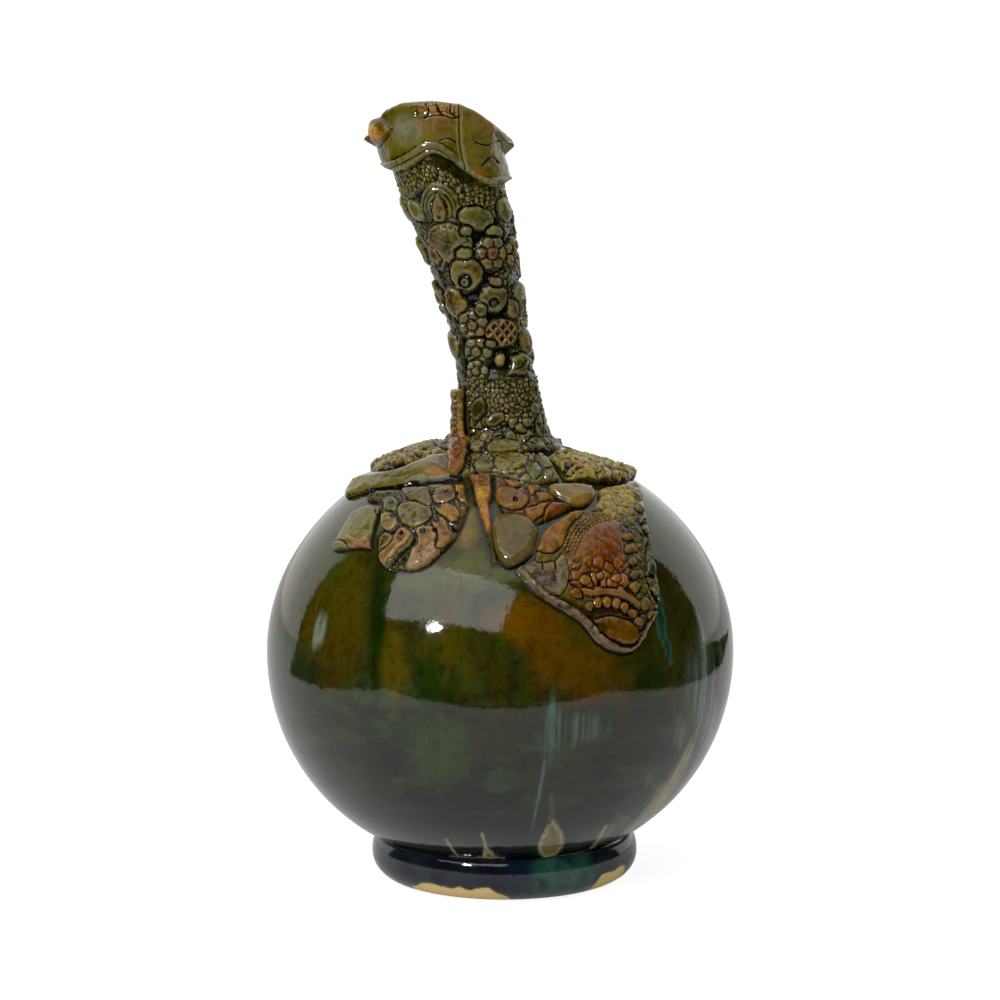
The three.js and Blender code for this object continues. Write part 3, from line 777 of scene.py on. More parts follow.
# Drips on the globe, as lines and closed outlines through pixels of the photograph
LONG_RUN = [(707, 690), (702, 718), (692, 742), (682, 766), (664, 795), (640, 824), (612, 846)]
BLUE_LINE = [(545, 762), (540, 790), (535, 815), (531, 838)]
DRIP_TAIL = [(551, 796), (552, 812), (549, 826)]
TEAL_DRIP = [(655, 600), (660, 618), (663, 634), (668, 650), (671, 664)]
HAIRLINES = [
    [(700, 762), (650, 832)],
    [(676, 800), (618, 856)],
    [(712, 730), (702, 775)],
    [(655, 800), (610, 850)],
]
SLASHES = [
    [(446, 840), (452, 849), (459, 858)],
    [(451, 857), (474, 859)],
    [(482, 834), (485, 845), (484, 857)],
    [(478, 858), (504, 859)],
    [(606, 826), (598, 840), (587, 854)],
]
DRIPS = [
    [(553, 819), (561, 832), (563, 844), (556, 854), (543, 856), (539, 846), (545, 831)],
    [(486, 848), (493, 853), (498, 858), (484, 858)],
]


def globe():
    """The thrown globe, with throwing rings and glaze that ran down it in streaks"""
    top = reach_at_radius(THROAT_RADIUS)
    bottom = below_equator(GLOBE_BASE_RADIUS, PROFILE_REACH)
    clay = turned_grid(on_globe, GLOBE_GRID[0], np.linspace(bottom, top, GLOBE_GRID[1]), 0.55)
    down = clay.along
    rings = np.sin(down / 2.9 + 2 * noise(clay.spot / 60, 5)) * smooth(cloud(clay.spot / 50, 2, 8), -0.4, 0.6)
    clay.height = 0.06 * rings + 0.22 * cloud(clay.spot / 38, 2, 3)
    broad, fine, thin = streaks(clay, 24, 90, 11), streaks(clay, 7, 46, 21), streaks(clay, 2.6, 34, 31)
    brushed = clay.spot / np.array([16, 16, 7])
    clouds, wisps = cloud(brushed, 4, 12), cloud(brushed * 3, 3, 13)
    middle = smooth(down, 60, 100) * smooth(down, 190, 150)
    lower = smooth(down, 140, 160) * smooth(down, 236, 215)
    below_line = down - SKIRT_REACH - 141 - 1.5 * noise(clay.spot / 30, 14)
    line = smooth(np.abs(below_line), 1.2, 0.3) * smooth(wisps, -0.2, 0.3)
    clay.coat(linear(62, 58, 20))
    layers = [
        (middle * smooth(broad + 0.4 * fine, -0.2, 0.35), linear(92, 74, 8)),
        (middle * smooth(fine + 0.3 * thin, 0.05, 0.45), linear(104, 70, 6)),
        (smooth(fine - 0.5 * broad, 0.12, 0.45) * smooth(down, 40, 90) * 0.85, linear(34, 52, 10)),
        (smooth(down, 148, 176) * 0.9, linear(40, 42, 30)),
        (smooth(down, 176, 235) * 0.9, linear(30, 34, 32)),
        (smooth(down, 150, 200) * smooth(broad, 0, 0.5) * 0.6, linear(44, 58, 40)),
        (smooth(down, 228, 250) * 0.8, linear(18, 22, 32)),
        (lower * smooth(clouds + 0.4 * wisps, -0.05, 0.4) * 0.7, linear(64, 80, 54)),
        (lower * smooth(clouds - 0.5 * wisps, -0.05, -0.4) * 0.6, linear(18, 30, 30)),
        (middle * smooth(wisps + 0.6 * fine, 0.1, 0.5) * 0.6, linear(58, 76, 14)),
        (middle * smooth(wisps - 0.6 * fine, 0.15, 0.5) * 0.5, linear(44, 30, 8)),
        (line * 0.5, as_seen(76, 72, 48)),
    ]
    for mask, colour in layers:
        clay.paint(mask, colour)
    clay.wash(GLAZE_RUNS, 0.3 * fine + 0.15 * thin + 0.3 * wisps, 1.25, 0.45)
    hairs = smooth(streaks(clay, 1.3, 60, 41), -0.2, 0.15)
    clay.wash(PALE_RUNS, 0.4 * thin, cover=mix(0.2, 1, hairs))
    # Dark pooled glaze round each slab's outline, which also serves as painted shade where the slabs meet the
    # globe
    for plan in SHOULDER.values():
        outline = np.concatenate([curve_through(plan[side], 8) for side in ("lower", "upper")])
        distance = nearest_distance(clay.spot, on_shoulder(outline[:, 0], outline[:, 1]))
        clay.pool = np.maximum(clay.pool, smooth(distance + 0.4 * wisps, 1.9, 0.8) * 0.9)
    globe_drips(clay, thin)
    ends = (share_at(GLOBE_BASE_RADIUS, False, GLOBE_WALL), share_at(THROAT_RADIUS, True, GLOBE_WALL))
    inner_r, inner_z = skin_at(np.linspace(*ends, 24), GLOBE_WALL)
    inner_r = np.concatenate([[3], inner_r])
    inner_z = np.concatenate([inner_z[:1], inner_z])
    make_piece("globe_body", "globe_glaze", clay, around(clay.across[:, :1], inner_r, inner_z), "bowl")


def globe_drips(clay, thin):
    """Thick runs that stopped just above the foot, thin pale lines, and a teal drip under the lappet"""
    cream = as_seen(158, 150, 116)
    distance, travelled = clay.view_line(LONG_RUN)
    width = 0.8 + 3.4 * smooth(travelled, 14, 48) * smooth(travelled, 94, 62)
    hair = smooth(noise(np.stack([distance / 0.9, travelled / 30, 0 * thin], axis=-1), 42), -0.5, 0.1)
    run = smooth(distance + 0.8 * thin, width, width * 0.4) * smooth(travelled, 10, 40)
    clay.paint(run * mix(0.5, 1, hair), as_seen(150, 142, 100))
    for line in HAIRLINES:
        clay.paint(smooth(clay.view_line(line)[0] + 0.5 * thin, 1.0, 0.3) * 0.7, as_seen(118, 124, 106))
    distance, travelled = clay.view_line(BLUE_LINE)
    clay.paint(smooth(distance, 1.0, 0.3) * smooth(travelled, 40, 20) * 0.8, as_seen(92, 102, 108))
    for line in SLASHES:
        clay.paint(smooth(clay.view_line(line)[0] + 0.3 * thin, 1.1, 0.4) * 0.8, cream)
    for outline in DRIPS:
        distance = clay.view_patch(outline)
        clay.press(distance, 0.35, 2.0, 0.0, 0.2, as_seen(132, 118, 62))
        clay.paint(smooth(np.abs(distance + 0.4), 1.2, 0.4), cream)
    clay.paint(smooth(clay.view_line(DRIP_TAIL)[0], 2.2, 0.4) * 0.6, as_seen(84, 78, 56))
    distance, travelled = clay.view_line(TEAL_DRIP)
    width = mix(3.6, 0.8, np.clip(travelled / 30, 0, 1))
    clay.paint(smooth(distance, width * 1.3, width * 0.6) * 0.9, linear(34, 84, 74))
    clay.paint(smooth(np.abs(distance - width * 0.8), 0.7, 0.2) * 0.6, as_seen(72, 100, 92))


def on_foot(azimuth, along, out=0.0):
    """The foot ring's skin, where along is 0 at the standing face and 1 at the seat under the globe"""
    seat_z = below_equator(FOOT_SEAT_RADIUS, PROFILE_Z)
    turn = (along * 2 - 1) * math.pi / 2
    end_radius = np.where(turn < 0, FOOT_STANDING_RADIUS, FOOT_SEAT_RADIUS)
    end_z = np.where(turn < 0, 0, seat_z)
    radius = mix(end_radius, FOOT_RADIUS + out, np.cos(turn))
    z = mix(FOOT_FULLEST_Z, end_z, np.abs(np.sin(turn)))
    return around(azimuth, radius, z, FOOT_SHIFT)


# Where the wiped line on the foot rises or dips, as azimuth, half width and rise
FOOT_BITES = [(-21, 24, 0.17), (8, 6, -0.3), (28, 16, -0.3), (55, 14, 0.24), (-58, 12, -0.16)]


def foot():
    """The foot ring: dark runny glaze that stops in an uneven line above bare clay, where it was wiped"""
    clay = turned_grid(on_foot, FOOT_GRID[0], spaced(FOOT_GRID[1], 0.4))
    round_place = around(clay.across, FOOT_SEAT_RADIUS, 0)
    clay.height = 0.35 * cloud(round_place / 30, 2, 41) * np.sin(math.pi * clay.along)
    clay.coat(INK)
    clay.mottle(12, 44, -0.1, 0.4, linear(34, 42, 46), 0.7)
    teal = smooth(np.abs(clay.across - 24 + 8 * noise(round_place / 9, 48)), 30, 8)
    patches = cloud(clay.spot / 5, 3, 45)
    clay.paint(teal * smooth(patches, -0.6, 0.1), linear(30, 76, 62))
    clay.paint(teal * smooth(patches, 0.1, 0.5) * 0.7, linear(60, 92, 96))
    clay.paint(smooth(np.abs(clay.across - 6), 9, 3) * 0.8, linear(14, 26, 50))
    line = 0.22 + 0.05 * noise(round_place / 14, 46) + 0.03 * noise(round_place / 4, 47)
    for azimuth, half_width, rise in FOOT_BITES:
        line = line + rise * smooth(np.abs(clay.across - azimuth), half_width, half_width * 0.6)
    clay.bare = smooth(clay.along, line + 0.012, line - 0.012)
    clay.height = clay.height - 0.35 * clay.bare
    inner = around(clay.across[:, :1], FOOT_INNER_RADIUS, np.array([[0.0, 4.0, 8.0]]), FOOT_SHIFT)
    make_piece("foot_ring", "foot_glaze", clay, inner, "tube")


# Neck


# Large cells on the lower sleeve, each by its outline, azimuth, share of the way up from the skirt's top,
# lean, half width, half height and colour
SLEEVE_CELLS = [
    (oval, -8, 0.33, 25, 4.8, 2.9, linear(118, 108, 48)),
    (leaf, -32, 0.5, -18, 4.4, 6.4, linear(66, 60, 10)),
    (oval, 9, 0.02, 0, 2.9, 2.9, OLIVE),
    (oval, -6, 0.02, 10, 2.5, 2.4, LIME),
    (oval, 31, 0, -20, 3.9, 3.3, OLIVE),
    (oval, 23, 0.17, -30, 3.1, 2.1, LIME),
    (oval, 53, 0.48, 0, 3.2, 2.6, OLIVE),
    (oval, -19, -0.12, 0, 3.5, 3.2, OLIVE),
    (oval, -25, 0.03, 20, 2.2, 1.9, TAN),
    (oval, 34, 0.26, 0, 2.6, 2.4, OLIVE),
    (oval, -2, -0.15, 0, 3.2, 1.9, MOSS),
    (oval, 4, -0.5, 8, 8.1, 4.4, linear(132, 124, 74)),
    (oval, -29, -0.5, 15, 6, 3, GREY),
    (oval, 41, -0.45, 0, 5, 3.6, OLIVE),
    (leaf, 34, -0.8, 25, 2.6, 4.8, MOSS),
]


def lower_sleeve():
    """The lower length of the neck, from a skirt spread over the crown, covered in pressed crochet cells"""
    base_reach = reach_at_radius(NECK_BASE_RADIUS)
    foot_z = float(on_globe(0.0, base_reach, 2 * SKIRT_EDGE)[2])

    def surface(azimuth, along, out=0.0):
        skirt_share = np.clip(along + 1, 0, 1)
        reach = mix(SKIRT_REACH, base_reach, skirt_share)
        low = on_globe(azimuth, reach, SEAT + SKIRT_EDGE * (1 + skirt_share**2) + out)
        z = mix(foot_z, JOINT_Z, np.clip(along, 0, 1))
        high = on_neck(azimuth, z, out)
        return mix(low, high, np.asarray(smooth(along, -0.35, 0.2))[..., None])

    clay = turned_grid(surface, LOWER_SLEEVE_GRID[0], np.linspace(-1, 1, LOWER_SLEEVE_GRID[1]))
    up = clay.along
    clay.height = 0.5 * cloud(clay.spot / 16, 2, 51)
    clay.mottle(14, 52, -0.2, 0.4, linear(96, 90, 42))
    clay.mottle(11, 53, 0.1, 0.5, TAN, 0.7)
    clay.mottle(10, 54, 0.15, 0.5, MOSS, 0.7)
    coarse = smooth(up, 0.42, 0.3)
    clay.pebbles(2.3, 1.0, 1 - coarse, 55)
    clay.pebbles(4.2, 1.3, coarse, 56)
    for outline, azimuth, along, turn, half_width, half_height, colour in SLEEVE_CELLS:
        x, y = clay.flat(azimuth, along, turn)
        clay.press(outline(x, y, half_width, half_height), 0.9, 1.4, 0.6, 0.4, colour)
    clay.roughen(0.4)
    stipple = noise(clay.spot / 0.9, 57)
    clay.height = clay.height + 0.12 * stipple * smooth(up, -0.3, -0.5)
    bore_z = np.linspace(float(on_globe(0.0, reach_at_radius(THROAT_RADIUS), SEAT)[2]), JOINT_Z, 8)
    share = np.clip((bore_z - bore_z[0]) / (JOINT_Z - bore_z[0]) * 2, 0, 1)
    radius = mix(THROAT_RADIUS, neck_radius(bore_z) - NECK_WALL, share)
    bore = around(clay.across[:, :1], radius, bore_z, neck_centre(bore_z) * share)
    floor_reach = np.linspace(SKIRT_REACH, reach_at_radius(THROAT_RADIUS), 4)[:-1]
    seat = on_globe(clay.across[:, :1], floor_reach[None, :], SEAT)
    make_piece("neck_lower_sleeve", "lace_glaze", clay, np.concatenate([seat, bore], axis=1), "tube")


def flower(clay, x, y, half_width, half_height, colours, petals=6):
    """A flower of crochet cells: a middle cell in a ring of petals that touch"""
    radius = min(half_width, half_height)
    core = radius * 0.36
    away = np.hypot(x, y)
    turn = np.arctan2(y, x) * petals / (2 * math.pi)
    name = np.floor(turn + 0.5) % petals
    aside = np.abs(turn - np.floor(turn + 0.5)) * 2 * math.pi / petals
    border = away * np.sin(math.pi / petals - aside)
    size_of = scatter(np.stack([name] * 3, -1).astype(int), 7)
    outer = radius * (0.88 + 0.08 * np.cos(aside * petals) + 0.12 * (size_of - 0.5))
    distance = np.maximum(np.maximum(away - outer, core + 0.2 - away), 0.15 - border)
    clay.press(away - radius, 0.2, 1.2, 0.9, 0.3, DARK_OLIVE)
    clay.press(distance, 1.7, 1.9, 0.0, 0.05)
    clay.press(away - core, 1.9, 1.9, 0.0, 0.05, colours[0])
    for k in range(petals):
        own = (name == k) * smooth(distance, 0.1, -0.5)
        colour = colours[1 + k % (len(colours) - 1)]
        clay.paint(own, colour)
        clay.paint(own * smooth(distance, -0.7, -1.6) * 0.5, colour * 0.55)


def cell(clay, x, y, half_width, half_height, colours, outline=oval):
    """A raised cell with a paler rim round a slightly sunken, mottled middle"""
    distance = outline(x, y, half_width, half_height)
    size = min(half_width, half_height)
    clay.press(distance, 1.2 + 0.12 * size, 0.9 * size, 1.0, 0.4, colours[0])
    middle = smooth(distance + 0.4 * clay.uneven(), -0.25 * size, -0.5 * size)
    clay.paint(middle * 0.9, colours[1])
    clay.paint(middle * smooth(cloud(clay.spot / 2.2, 2, 68), 0.0, 0.5) * 0.6, colours[-1])


def petal(clay, x, y, half_width, half_height, colours):
    """A round-topped petal with an arch of cord over it"""
    reach = np.hypot(x / half_width, (y + 1) / half_height) * half_width
    above = smooth(y, -half_height * 0.6, 0)
    for ring in (0.72, 0.98, 1.22):
        clay.cord(np.abs(reach - ring * half_width), 0.9, 0.9 - 0.3 * ring, above)
        clay.paint(smooth(np.abs(reach - ring * half_width), 0.8, 0.2) * above * 0.5, PALE_OLIVE)
    clay.press(teardrop(x, y, half_width * 0.66, half_height * 0.8), 1.9, 3.2, 0.6, 0.2, colours[0])
    clay.paint(smooth(np.hypot(x, y - 0.5), half_width * 0.6, 0), colours[1])
    clay.hole(np.hypot(x, y + half_height * 0.5) - 0.9, 0.8)


def shell(clay, x, y, half_width, half_height, colours):
    """A scallop with smooth ribs, fine scales at its left and a row of beads over its top"""
    distance = oval(x, y, half_width, half_height)
    clay.press(distance, 1.8, 5.0, 1.1, 0.5, colours[0])
    fan = np.degrees(np.arctan2(x + half_width * 0.3, y + half_height * 0.9))
    inside = smooth(distance, -0.5, -1.5)
    clay.slit(np.abs((fan + 9) % 40 - 20) * 0.16, 0.7, 0.3, inside * smooth(x, -1, 2))
    scales = inside * smooth(x, -3.5, -5.5)
    border, _ = cells(clay.spot / 1.5, 69)
    clay.height = clay.height - 0.45 * scales * smooth(border, 0.4, 0.05)
    clay.paint(scales, colours[1])
    for k in range(8):
        angle = math.radians(-62 + 18 * k)
        bead_x = x - math.sin(angle) * (half_width - 1.7)
        bead_y = y - math.cos(angle) * (half_height - 1.7)
        clay.press(np.hypot(bead_x, bead_y) - 0.8, 1.7, 0.9, 0.1, 0.15, MOSS)


def moon(clay, x, y, half_width, half_height, colours):
    """A fat crescent with a small ringed hole in its bite"""
    distance = crescent(x, y, half_width, half_width * 0.42, half_width * 0.5)
    clay.press(distance, 2.0, 3.2, 1.3, 0.6, colours[0])
    clay.paint(smooth(np.abs(distance), 0.9, 0.3), colours[1])
    hole = np.hypot(x, y + half_width * 0.52)
    clay.press(hole - 1.9, 0.6, 0.8, 0.6, 0.2, colours[1])
    clay.hole(hole - 0.7, 1.0, 0.5)


def eye(clay, x, y, half_width, half_height, colours):
    """A disc with a dark ringed hole to one side, and a pale ring"""
    distance = oval(x, y, half_width, half_height)
    clay.press(distance, 1.9, 4.0, 1.2, 0.5, colours[0])
    hole = np.hypot(x - half_width * 0.2, y + half_height * 0.25) - half_width * 0.36
    clay.hole(hole, 0.9, 0.6)
    clay.press(hole + 0.9, 0.5, 0.9, 0.6, 0.1, colours[1])


def rib_leaf(clay, x, y, half_width, half_height, colours):
    """A pointed leaf with a sunken rib and lobes cut into its sides"""
    lobes = 0.5 * np.sin(y / half_height * 7)
    clay.press(leaf(x, y, half_width, half_height) + lobes, 1.8, 3.2, 1.1, 0.5, colours[0])
    inside = smooth(leaf(x, y, half_width, half_height), -0.2, -1.2)
    clay.slit(np.abs(x + 0.4 * np.sin(y)), 0.6, 0.5, inside)
    clay.paint(inside * smooth(y, 0, half_height * 0.6) * 0.6, colours[1])


def drop(clay, x, y, half_width, half_height, colours):
    clay.press(teardrop(x, y, half_width, half_height), 1.4, 1.6, 0.9, 0.4, colours[0])
    ring = np.abs(np.hypot(x + 0.8, y) - half_width * 1.45)
    clay.cord(ring, 0.9, 0.9, smooth(x, -1, 1.5))


def bumps(clay, x, y, half_width, half_height, colours):
    """A patch of small lumps"""
    inside = smooth(oval(x, y, half_width, half_height), 0.5, -1)
    clay.height = mix(clay.height, 0.2, inside)
    clay.pebbles(2.9, 1.2, inside, 71)
    clay.paint(inside * 0.8, colours[0])


def lozenges(clay, x, y, half_width, half_height, colours):
    """Brown diamonds between crossing amber cords"""
    inside = smooth(oval(x, y, half_width, half_height), 0.5, -0.5)
    clay.height = mix(clay.height, 0.3, inside)
    clay.pool = clay.pool * (1 - inside)
    clay.paint(inside, colours[0])
    for lean in (-1, 1):
        line = np.abs((x + lean * y * 0.8 + 2.2) % 4.4 - 2.2) * 0.78
        clay.cord(line, 0.7, 1.1, inside)
        clay.paint(smooth(line, 0.8, 0.3) * inside, colours[1])


# What is pressed into the upper sleeve: its shape, azimuth, height above the crown, lean, half width, half
# height and colours. The model too has domes for the first 38.
NECK_MOTIFS = [
    (cell, -54, 112, 30, 5, 6, (PALE_OLIVE, OLIVE)),
    (petal, -19, 114, 0, 7.4, 9.4, (linear(108, 94, 54), linear(116, 80, 40))),
    (cell, 21, 109, -8, 9.4, 5.6, (linear(104, 108, 78), linear(92, 88, 52), linear(70, 84, 60))),
    (cell, 41, 102, 0, 5.4, 3.6, (PALE_OLIVE, OCHRE)),
    (shell, -22, 97.4, -6, 11.5, 9.4, (linear(108, 106, 76), linear(104, 80, 54))),
    (drop, -48, 91.6, 15, 4.6, 5.2, (RUST, TAN)),
    (flower, 30, 92.4, 10, 8.4, 8.4, (RUST, OCHRE, OLIVE)),
    (moon, -10, 83, -12, 8, 7, (HONEY, PALE_OLIVE)),
    (bumps, 42, 80.5, 0, 6, 4, (MOSS,)),
    (eye, 20, 71.5, -45, 7.2, 7, (linear(92, 86, 40), linear(84, 96, 76))),
    (rib_leaf, -40, 68.4, 6, 6.4, 9.2, (linear(120, 102, 50), BROWN)),
    (flower, -19.5, 58.6, 20, 7.4, 7.4, (BROWN, OLIVE, OCHRE)),
    (lozenges, 22, 55, 0, 7.8, 6.4, (BROWN, AMBER)),
    (flower, -22, 46, 0, 7.2, 7.2, (OLIVE, PALE_OLIVE, OLIVE)),
    (rib_leaf, 44, 40, -55, 5, 9, (linear(96, 92, 44), OLIVE)),
    (cell, 68, 112, 10, 8, 6, (PALE_OLIVE, OLIVE)),
    (flower, 70, 92, 0, 8, 8, (BROWN, OCHRE, OLIVE)),
    (moon, 78, 70, 20, 8.5, 8.5, (OLIVE, PALE_OLIVE)),
    (cell, 72, 50, 0, 7, 7, (OLIVE, OCHRE)),
    (flower, 104, 104, 0, 8.5, 8.5, (RUST, OCHRE, OLIVE)),
    (rib_leaf, 112, 84, 10, 7, 9, (OCHRE, OLIVE)),
    (shell, 118, 60, 0, 9, 7, (PALE_OLIVE, TAN)),
    (cell, 108, 43, 0, 7, 6, (OLIVE, PALE_OLIVE)),
    (petal, 148, 110, 0, 9, 8, (PALE_OLIVE, OCHRE)),
    (flower, 150, 88, 0, 9, 9, (RUST, OLIVE, OCHRE)),
    (eye, 156, 64, 30, 8, 9, (OLIVE, PALE_OLIVE)),
    (cell, 150, 44, 0, 8, 6, (PALE_OLIVE, OLIVE)),
    (shell, -172, 98, 0, 8, 9, (PALE_OLIVE, TAN)),
    (flower, -168, 76, 0, 8, 8, (BROWN, OLIVE, OCHRE)),
    (petal, -170, 52, 0, 9, 9, (OLIVE, OCHRE)),
    (flower, -134, 108, 0, 9, 8, (RUST, OCHRE, OLIVE)),
    (rib_leaf, -132, 86, -8, 8, 9, (OCHRE, OLIVE)),
    (flower, -128, 62, 10, 8.5, 8.5, (BROWN, PALE_OLIVE, OLIVE)),
    (cell, -126, 43, 0, 8, 6, (OLIVE, OCHRE)),
    (cell, -94, 112, 0, 8, 7, (PALE_OLIVE, OLIVE)),
    (moon, -90, 92, 0, 7, 8, (OLIVE, PALE_OLIVE)),
    (flower, -84, 70, 0, 8.5, 8.5, (BROWN, OLIVE, OCHRE)),
    (cell, -78, 48, 0, 7, 7, (OLIVE, PALE_OLIVE)),
    (cell, -5.5, 92.4, 0, 4.1, 3.1, (OLIVE, PALE_OLIVE)),
    (cell, 28, 79, 0, 3.8, 2.6, (BROWN, OCHRE)),
    (flower, -28, 36.6, 15, 6, 6, (BROWN, GREY, OLIVE)),
    (cell, 10.6, 42.2, -15, 2.4, 3.2, (TAN, TAN)),
    (cell, 4, 103, 0, 3.2, 2.6, (OLIVE, OLIVE)),
    (cell, 2, 50, 0, 3.0, 2.4, (MOSS, OLIVE)),
    (cell, -2, 66, 0, 3.0, 3.4, (OLIVE, MOSS)),
    (cell, 48, 66, 0, 4.0, 5.0, (OLIVE, OCHRE)),
]

# The fine net under the band, as azimuth and height above the crown, on the neck's radius there
NET_RADIUS = 25
NECK_NET = [(-80, 118), (-60, 122), (-35, 128), (-12, 128), (8, 122), (25, 117), (50, 119), (75, 116)]


def ground_azimuth(up):
    """The middle of the bare dark ground between the motifs leans right as it goes down."""
    return np.interp(up, [36, 60, 85, 105], [-14, -4, 4, -8])


def upper_sleeve():
    """The leaning upper length of the neck, with flowers, domes, crescents and nets of pressed crochet"""

    def surface(azimuth, along, out=0.0):
        z = mix(JOINT_Z + 0.2, lip_z(azimuth) - 1, along)
        return on_neck(azimuth, z, out)

    def along_at(azimuth, up):
        """The share of the sleeve's height that lies a distance above the crown"""
        return (CROWN_Z + up - JOINT_Z) / (float(lip_z(azimuth)) - 1 - JOINT_Z)

    clay = turned_grid(surface, UPPER_SLEEVE_GRID[0], np.linspace(0, 1, UPPER_SLEEVE_GRID[1]), 0.4)
    up = clay.spot[..., 2] - CROWN_Z
    clay.height = 0.5 * cloud(clay.spot / 17, 2, 61)
    clay.coat(linear(70, 70, 34))
    clay.mottle(12, 63, 0.0, 0.5, OLIVE, 0.8)
    clay.mottle(10, 64, 0.1, 0.5, MOSS, 0.8)
    clay.mottle(8, 65, 0.2, 0.6, OCHRE, 0.6)
    middle = smooth(np.abs(clay.across - ground_azimuth(up)), 50, 30)
    middle = middle * smooth(up, 34, 40) * smooth(up, 112, 102)
    rows = smooth(cloud(clay.spot / 13, 2, 73), -0.25, 0.15)
    clay.pebbles(4.2, 0.9, (1 - middle) * rows, 66, (1, 1, 0.7), 0.7)
    clay.height = clay.height - 1.1 * middle - 0.6 * (1 - rows) * (1 - middle)
    clay.paint(np.maximum(middle, 0.6 * (1 - rows)), linear(30, 32, 14))
    clay.pool = np.maximum(clay.pool * 0.7, np.maximum(middle * 0.8, 0.45 * (1 - rows)))
    turn = np.radians((clay.across + 180) % 360 - 180)
    points = [(math.radians(azimuth) * NET_RADIUS, height) for azimuth, height in NECK_NET]
    distance, _ = stretch_to(turn * NET_RADIUS, up, points)
    band = smooth(distance, 5.6, 4.2) * smooth(np.abs(clay.across), 112, 95)
    clay.height = mix(clay.height, 0.2, band)
    clay.pool = mix(clay.pool, 0, band)
    clay.paint(band, linear(104, 102, 40))
    clay.pebbles(2.3, 0.9, band, 67, (1, 1, 1), 0.7)
    for motif, azimuth, height, lean, half_width, half_height, colours in NECK_MOTIFS:
        x, y = clay.flat(azimuth, along_at(azimuth, height), lean)
        motif(clay, x, y, half_width, half_height, colours)
    dark = smooth(up, 112, 118) * smooth(up, 124, 118) * smooth(np.abs(clay.across - 21), 22, 16)
    clay.paint(dark * smooth(distance, 4, 6) * 0.6, INK)
    clay.roughen(0.4)
    clay.height = (clay.height - 0.15) * smooth(clay.along, 0, 0.02) * smooth(clay.along, 1, 0.86)
    bore_share = np.linspace(0, 1, 30)
    z = mix(JOINT_Z + 0.2, lip_z(clay.across[:, :1]) - 1, bore_share)
    bore = around(clay.across[:, :1], neck_radius(z) - NECK_WALL, z, neck_centre(z))
    make_piece("neck_upper_sleeve", "lace_glaze", clay, bore, "tube")


# Slabs


def nearest_distance(spot, outline):
    """Distance from each place of a grid to the nearest of an outline's points"""
    best = np.full(spot.shape[:2], 1e9)
    for start in range(0, len(outline), 8):
        part = outline[start : start + 8]
        best = np.minimum(best, ((spot[:, :, None] - part) ** 2).sum(axis=-1).min(axis=-1))
    return np.sqrt(best)


def edge_distance(spot, edges="all"):
    """Distance from each place of a grid to its nearest edge, or, of "rows", to its lower or upper edge"""
    outline = np.concatenate([spot[:, 0], spot[::-1, -1]])
    if edges == "all":
        outline = np.concatenate([outline, spot[-1], spot[0]])
    return nearest_distance(spot, outline)


def slab(
    surface, lower, upper, thickness=SLAB, pitch=0.45, torn=0.6, seed=0, taper=1.0, crown=0.0, bevel=3.6,
):
    """A grid of a pitch in millimetres between a lower and an upper edge, torn along both, with its body"""
    low, high = curve_through(lower), curve_through(upper)

    def size(curve):
        spots = surface(curve[:, 0], curve[:, 1])
        return np.linalg.norm(np.diff(spots, axis=0), axis=1).sum()

    columns = int(max(size(low), size(high)) / pitch) + 8
    middle = np.linspace(0.1, 0.9, 9)
    low_spots, high_spots = (surface(*at_shares(curve, middle).T) for curve in (low, high))
    rows = int(np.linalg.norm(low_spots - high_spots, axis=1).max() / pitch) + 8
    across_share, up_share = spaced(columns, 0.25), spaced(rows, 0.25)
    low_at, high_at = at_shares(low, across_share), at_shares(high, across_share)
    place = mix(low_at[:, None], high_at[:, None], up_share[None, :, None])
    spot = surface(place[..., 0], place[..., 1])
    raggedness = cloud(spot / 4.5, 4, seed + 1) * torn
    side = np.linalg.norm(high_at - low_at, axis=1)
    direction = (high_at - low_at) / np.maximum(side, 1e-6)[:, None]
    pull = (raggedness * (2 * up_share - 1) * np.abs(2 * up_share - 1) ** 3)[..., None]
    place = place + direction[:, None] * pull
    clay = Clay(surface, place[..., 0], place[..., 1])
    clay.up = up_share[None, :] + 0 * place[..., 0]
    give_body(clay, thickness, bevel, mix(1.0, taper, clay.up), crown)
    return clay


def give_body(clay, thickness, bevel, taper=1.0, crown=0.0):
    """Gives a slab its thickness, rounded off all round over the width of its bevel."""
    clay.inward = edge_distance(clay.spot)
    shape_body(clay, thickness, bevel, taper, crown)


def shape_body(clay, thickness, bevel, taper=1.0, crown=0.0):
    """Gives a slab its thickness, from how far in from its edges each place already lies"""
    inside = np.clip(clay.inward / bevel, 0, 1)
    lip = np.sqrt(1 - (1 - np.clip(clay.inward / 0.9, 0, 1)) ** 2)
    body = mix(0.45 * lip, 1.0, np.sqrt(1 - (1 - inside) ** 2) * lip)
    clay.rise = body * thickness * taper + crown * smooth(clay.inward, 0, 14)
    if bevel > 4:
        clay.rise = blurred(clay.rise, 6)
    clay.fade = smooth(clay.inward, 0, 1.2)


def lay_slab(node, slot, clay, sink=0.0):
    """Puts a slab's relief on its body, sinks its inner face by a depth, and makes the piece."""
    clay.roughen(0.12 if slot == "smooth_glaze" else 0.4)
    clay.height = SEAT + clay.rise + clay.height * clay.fade
    rows = clay.across.shape[1]
    inner_rows = np.linspace(0, rows - 1, max(4, rows // 8)).astype(int)
    inner = clay.spot[:, inner_rows] + clay.out[:, inner_rows] * (SEAT - sink)
    make_piece(node, slot, clay, inner)


def on_shoulder(azimuth, fall, out=0.0):
    return on_globe(azimuth, SKIRT_REACH + fall, out)


def curl(azimuth, z):
    """How far the band's right corner curls out from the neck"""
    aside = (azimuth - CORNER_AZIMUTH) / CORNER_WIDTH
    below = np.clip((lip_z(azimuth) - z) / CORNER_DEPTH, 0, 1)
    return CORNER_FLARE * np.exp(-(aside**2)) * smooth(1 - below)


